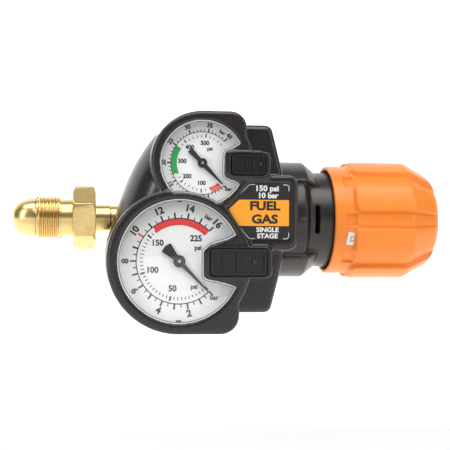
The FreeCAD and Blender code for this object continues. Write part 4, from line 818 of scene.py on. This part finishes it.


# Painted highlight: a pale ring at each lens edge; painted shade: a dark ring just inside it.
for side, front, bright, dark in (("delivery", -51.6, (0.0, 0.36), (0.4, 0.42)),
                                  ("inlet", -50.6, (0.0, 0.3), (0.34, 0.34))):
    node = side + "_gauge_lens"
    piece(side + "_lens_edge", lens_ring(node, front, *bright), painted_highlight_rim, "regulator")
    piece(side + "_lens_seat", lens_ring(node, front, *dark), shaded_edge, "regulator")

# ------------------------------------------------------------------ gas label
LABEL = -50.05  # y of the label's front
arrow = plate([(86.9, 4.4, 0.5), (91.7, -3.5, 0.5), (116.3, -3.5, 0.5), (116.3, 9.1, 0.5), (91.9, 9.1, 0.5)],
              LABEL - 0.06, LABEL + 0.3)
piece("label_arrow", arrow, label_orange, "regulator")
words = [lettering(text, 5.8, 104.4, z, LABEL - 0.08, weight=0.24, squeeze=1.18)
         for text, z in (("FUEL", 6.0), ("GAS", -0.4))]
piece("label_gas_name", joined(words), ink_black, "regulator")
words = [lettering(text, size, x, z, LABEL - 0.02, weight=weight, squeeze=1.1)
         for text, size, x, z, weight in (("150 psi", 3.7, 105.4, 14.5, 0.13), ("10 bar", 3.5, 105.9, 11.1, 0.13),
                                          ("SINGLE", 3.1, 105.8, -5.4, 0.11), ("STAGE", 3.1, 105.8, -8.4, 0.11))]
piece("label_small_words", joined(words), label_white, "regulator")


def stripe(path, width, front, thickness=0.06):
    """A thin printed line through the points of a path."""
    shape = bmesh.new()
    for (x0, z0), (x1, z1) in zip(path, path[1:]):
        length = math.hypot(x1 - x0, z1 - z0) + width
        bar = bmesh.ops.create_cube(shape, size=1.0)["verts"]
        bmesh.ops.scale(shape, vec=(length, thickness, width), verts=bar)
        turn = Matrix.Rotation(-math.atan2(z1 - z0, x1 - x0), 3, "Y")
        bmesh.ops.rotate(shape, cent=(0, 0, 0), matrix=turn, verts=bar)
        bmesh.ops.translate(shape, vec=((x0 + x1) / 2, front, (z0 + z1) / 2), verts=bar)
    return shape


edges = [stripe([(89.4, 8.9), (96.9, 16.4), (99.5, 16.4)], 0.22, LABEL),
         stripe([(89.6, -0.9), (96.9, -9.6), (99.5, -9.6)], 0.22, LABEL),
         stripe([(113.6, 16.4), (115.4, 16.4), (116.2, 15.6), (116.2, 13.6)], 0.3, LABEL),
         stripe([(113.6, -9.6), (115.4, -9.6), (116.2, -8.8), (116.2, -6.8)], 0.3, LABEL)]
piece("label_edge_lines", joined(edges), label_white, "regulator")

# ------------------------------------------------------------------ finishes of the remaining pieces
FINISHES = {
    "brass": brass_x, "body_brass": body_brass, "bronze": bronze, "movement_brass": movement_brass,
    "spring_steel": spring_steel, "zinc_plate": zinc, "case_steel": pressed_steel, "seat_polymer": seat_white,
    "diaphragm_rubber": rubber, "bonnet_black": bonnet_black, "cover_black": cover_black,
    "clip_black": clip_black, "knob_orange": knob_orange, "label_print": label_black, "dial_face": dial_white,
    "pointer_black": pointer_black, "lens_clear": lens_clear,
}
OWN_FINISH = {"clip_screws": black_zinc, "outlet_fitting": brass_y, "relief_cap": brass_y, "relief_poppet": brass_y}
slots = {s["node"]: s["material_slot"] for s in frame["record"]["subparts"]}
for name, node in frame["nodes"].items():
    finish = OWN_FINISH.get(name, FINISHES[slots[name]])
    for place in node.material_slots:
        place.material = finish.material


# ------------------------------------------------------------------ studio
SENSOR = 36.0
CAMERA_DISTANCE = 550.0
VIEW_WIDTH = 237.6  # what the camera takes in at the target's distance
CAMERA_TURN, CAMERA_ROLL = -7.5, 0.45


def studio():
    """Pale floor that rises into a pale wall behind, soft boxes and the camera."""
    profile = [(-2.2, -0.085), (0.55, -0.085), (0.75, -0.06), (0.88, 0.02), (0.95, 0.2), (0.95, 2.2)]
    shape = bmesh.new()
    verts = [shape.verts.new((-2.5, y, z)) for y, z in profile]
    edges = [shape.edges.new(pair) for pair in zip(verts, verts[1:])]
    swept = bmesh.ops.extrude_edge_only(shape, edges=edges)
    moved = [g for g in swept["geom"] if isinstance(g, bmesh.types.BMVert)]
    bmesh.ops.translate(shape, vec=(5.0, 0, 0), verts=moved)
    mesh = bpy.data.meshes.new("backdrop")
    shape.to_mesh(mesh)
    shape.free()
    mesh.shade_smooth()
    backdrop = bpy.data.objects.new("backdrop", mesh)
    bpy.context.scene.collection.objects.link(backdrop)
    paper = Finish("backdrop_paper", (0.66, 0.66, 0.66), 0.9, specular=0.1)
    behind = paper.split(paper.at())[1]
    glow = behind.above(-60.0, 160.0) * 0.80 + (1.0 - behind.above(-420.0, 320.0)) * 0.66 + 0.18
    paper.give("Emission Color", paper.blend(glow, rgb(0.0, 0.0, 0.0), rgb(1.0, 1.0, 1.0)))
    paper.give("Emission Strength", 1.0)
    mesh.materials.append(paper.material)

    def lamp(name, place, aim, size, power):
        light = bpy.data.lights.new(name, "AREA")
        light.shape = "RECTANGLE"
        light.size, light.size_y = size
        light.energy = power
        holder = bpy.data.objects.new(name, light)
        holder.location = place
        holder.rotation_euler = (Vector(aim) - Vector(place)).to_track_quat("-Z", "Y").to_euler()
        bpy.context.scene.collection.objects.link(holder)

    lamp("soft_box_top", (0.04, -0.20, 0.60), (0.09, 0.0, 0.0), (0.9, 0.25), 3.2)
    lamp("strip_left", (-0.50, -0.42, 0.22), (0.06, 0.0, 0.0), (0.10, 0.60), 1.5)
    lamp("strip_right", (0.66, -0.46, 0.20), (0.12, 0.0, 0.0), (0.10, 0.55), 0.9)
    lamp("front_fill", (0.25, -1.25, 1.30), (0.09, 0.0, 0.0), (0.8, 0.5), 5.4)
    world = bpy.data.worlds.new("room")
    world.use_nodes = True
    nodes, links = world.node_tree.nodes, world.node_tree.links
    room, seen = nodes["Background"], nodes.new("ShaderNodeBackground")
    for light, strength in ((room, 0.20), (seen, 1.0)):
        light.inputs[0].default_value = rgb(1.0, 1.0, 1.0)
        light.inputs[1].default_value = strength
    path, chosen = nodes.new("ShaderNodeLightPath"), nodes.new("ShaderNodeMixShader")
    links.new(path.outputs["Is Camera Ray"], chosen.inputs[0])
    links.new(room.outputs[0], chosen.inputs[1])
    links.new(seen.outputs[0], chosen.inputs[2])
    links.new(chosen.outputs[0], nodes["World Output"].inputs[0])
    bpy.context.scene.world = world
    bpy.context.scene.view_settings.view_transform = "Standard"

    camera = bpy.data.cameras.new("camera")
    camera.sensor_width = SENSOR
    camera.lens = SENSOR * CAMERA_DISTANCE / VIEW_WIDTH
    holder = bpy.data.objects.new("camera", camera)
    target = Vector((91.72, 0.0, -3.16)) * MM
    away = math.radians(CAMERA_TURN)
    holder.location = target + Vector((math.sin(away), -math.cos(away), 0.0)) * (CAMERA_DISTANCE * MM)
    aim = (target - holder.location).to_track_quat("-Z", "Y")
    holder.rotation_mode = "QUATERNION"
    holder.rotation_quaternion = aim @ Matrix.Rotation(math.radians(CAMERA_ROLL), 4, "Z").to_quaternion()
    bpy.context.scene.collection.objects.link(holder)
    bpy.context.scene.camera = holder


studio()
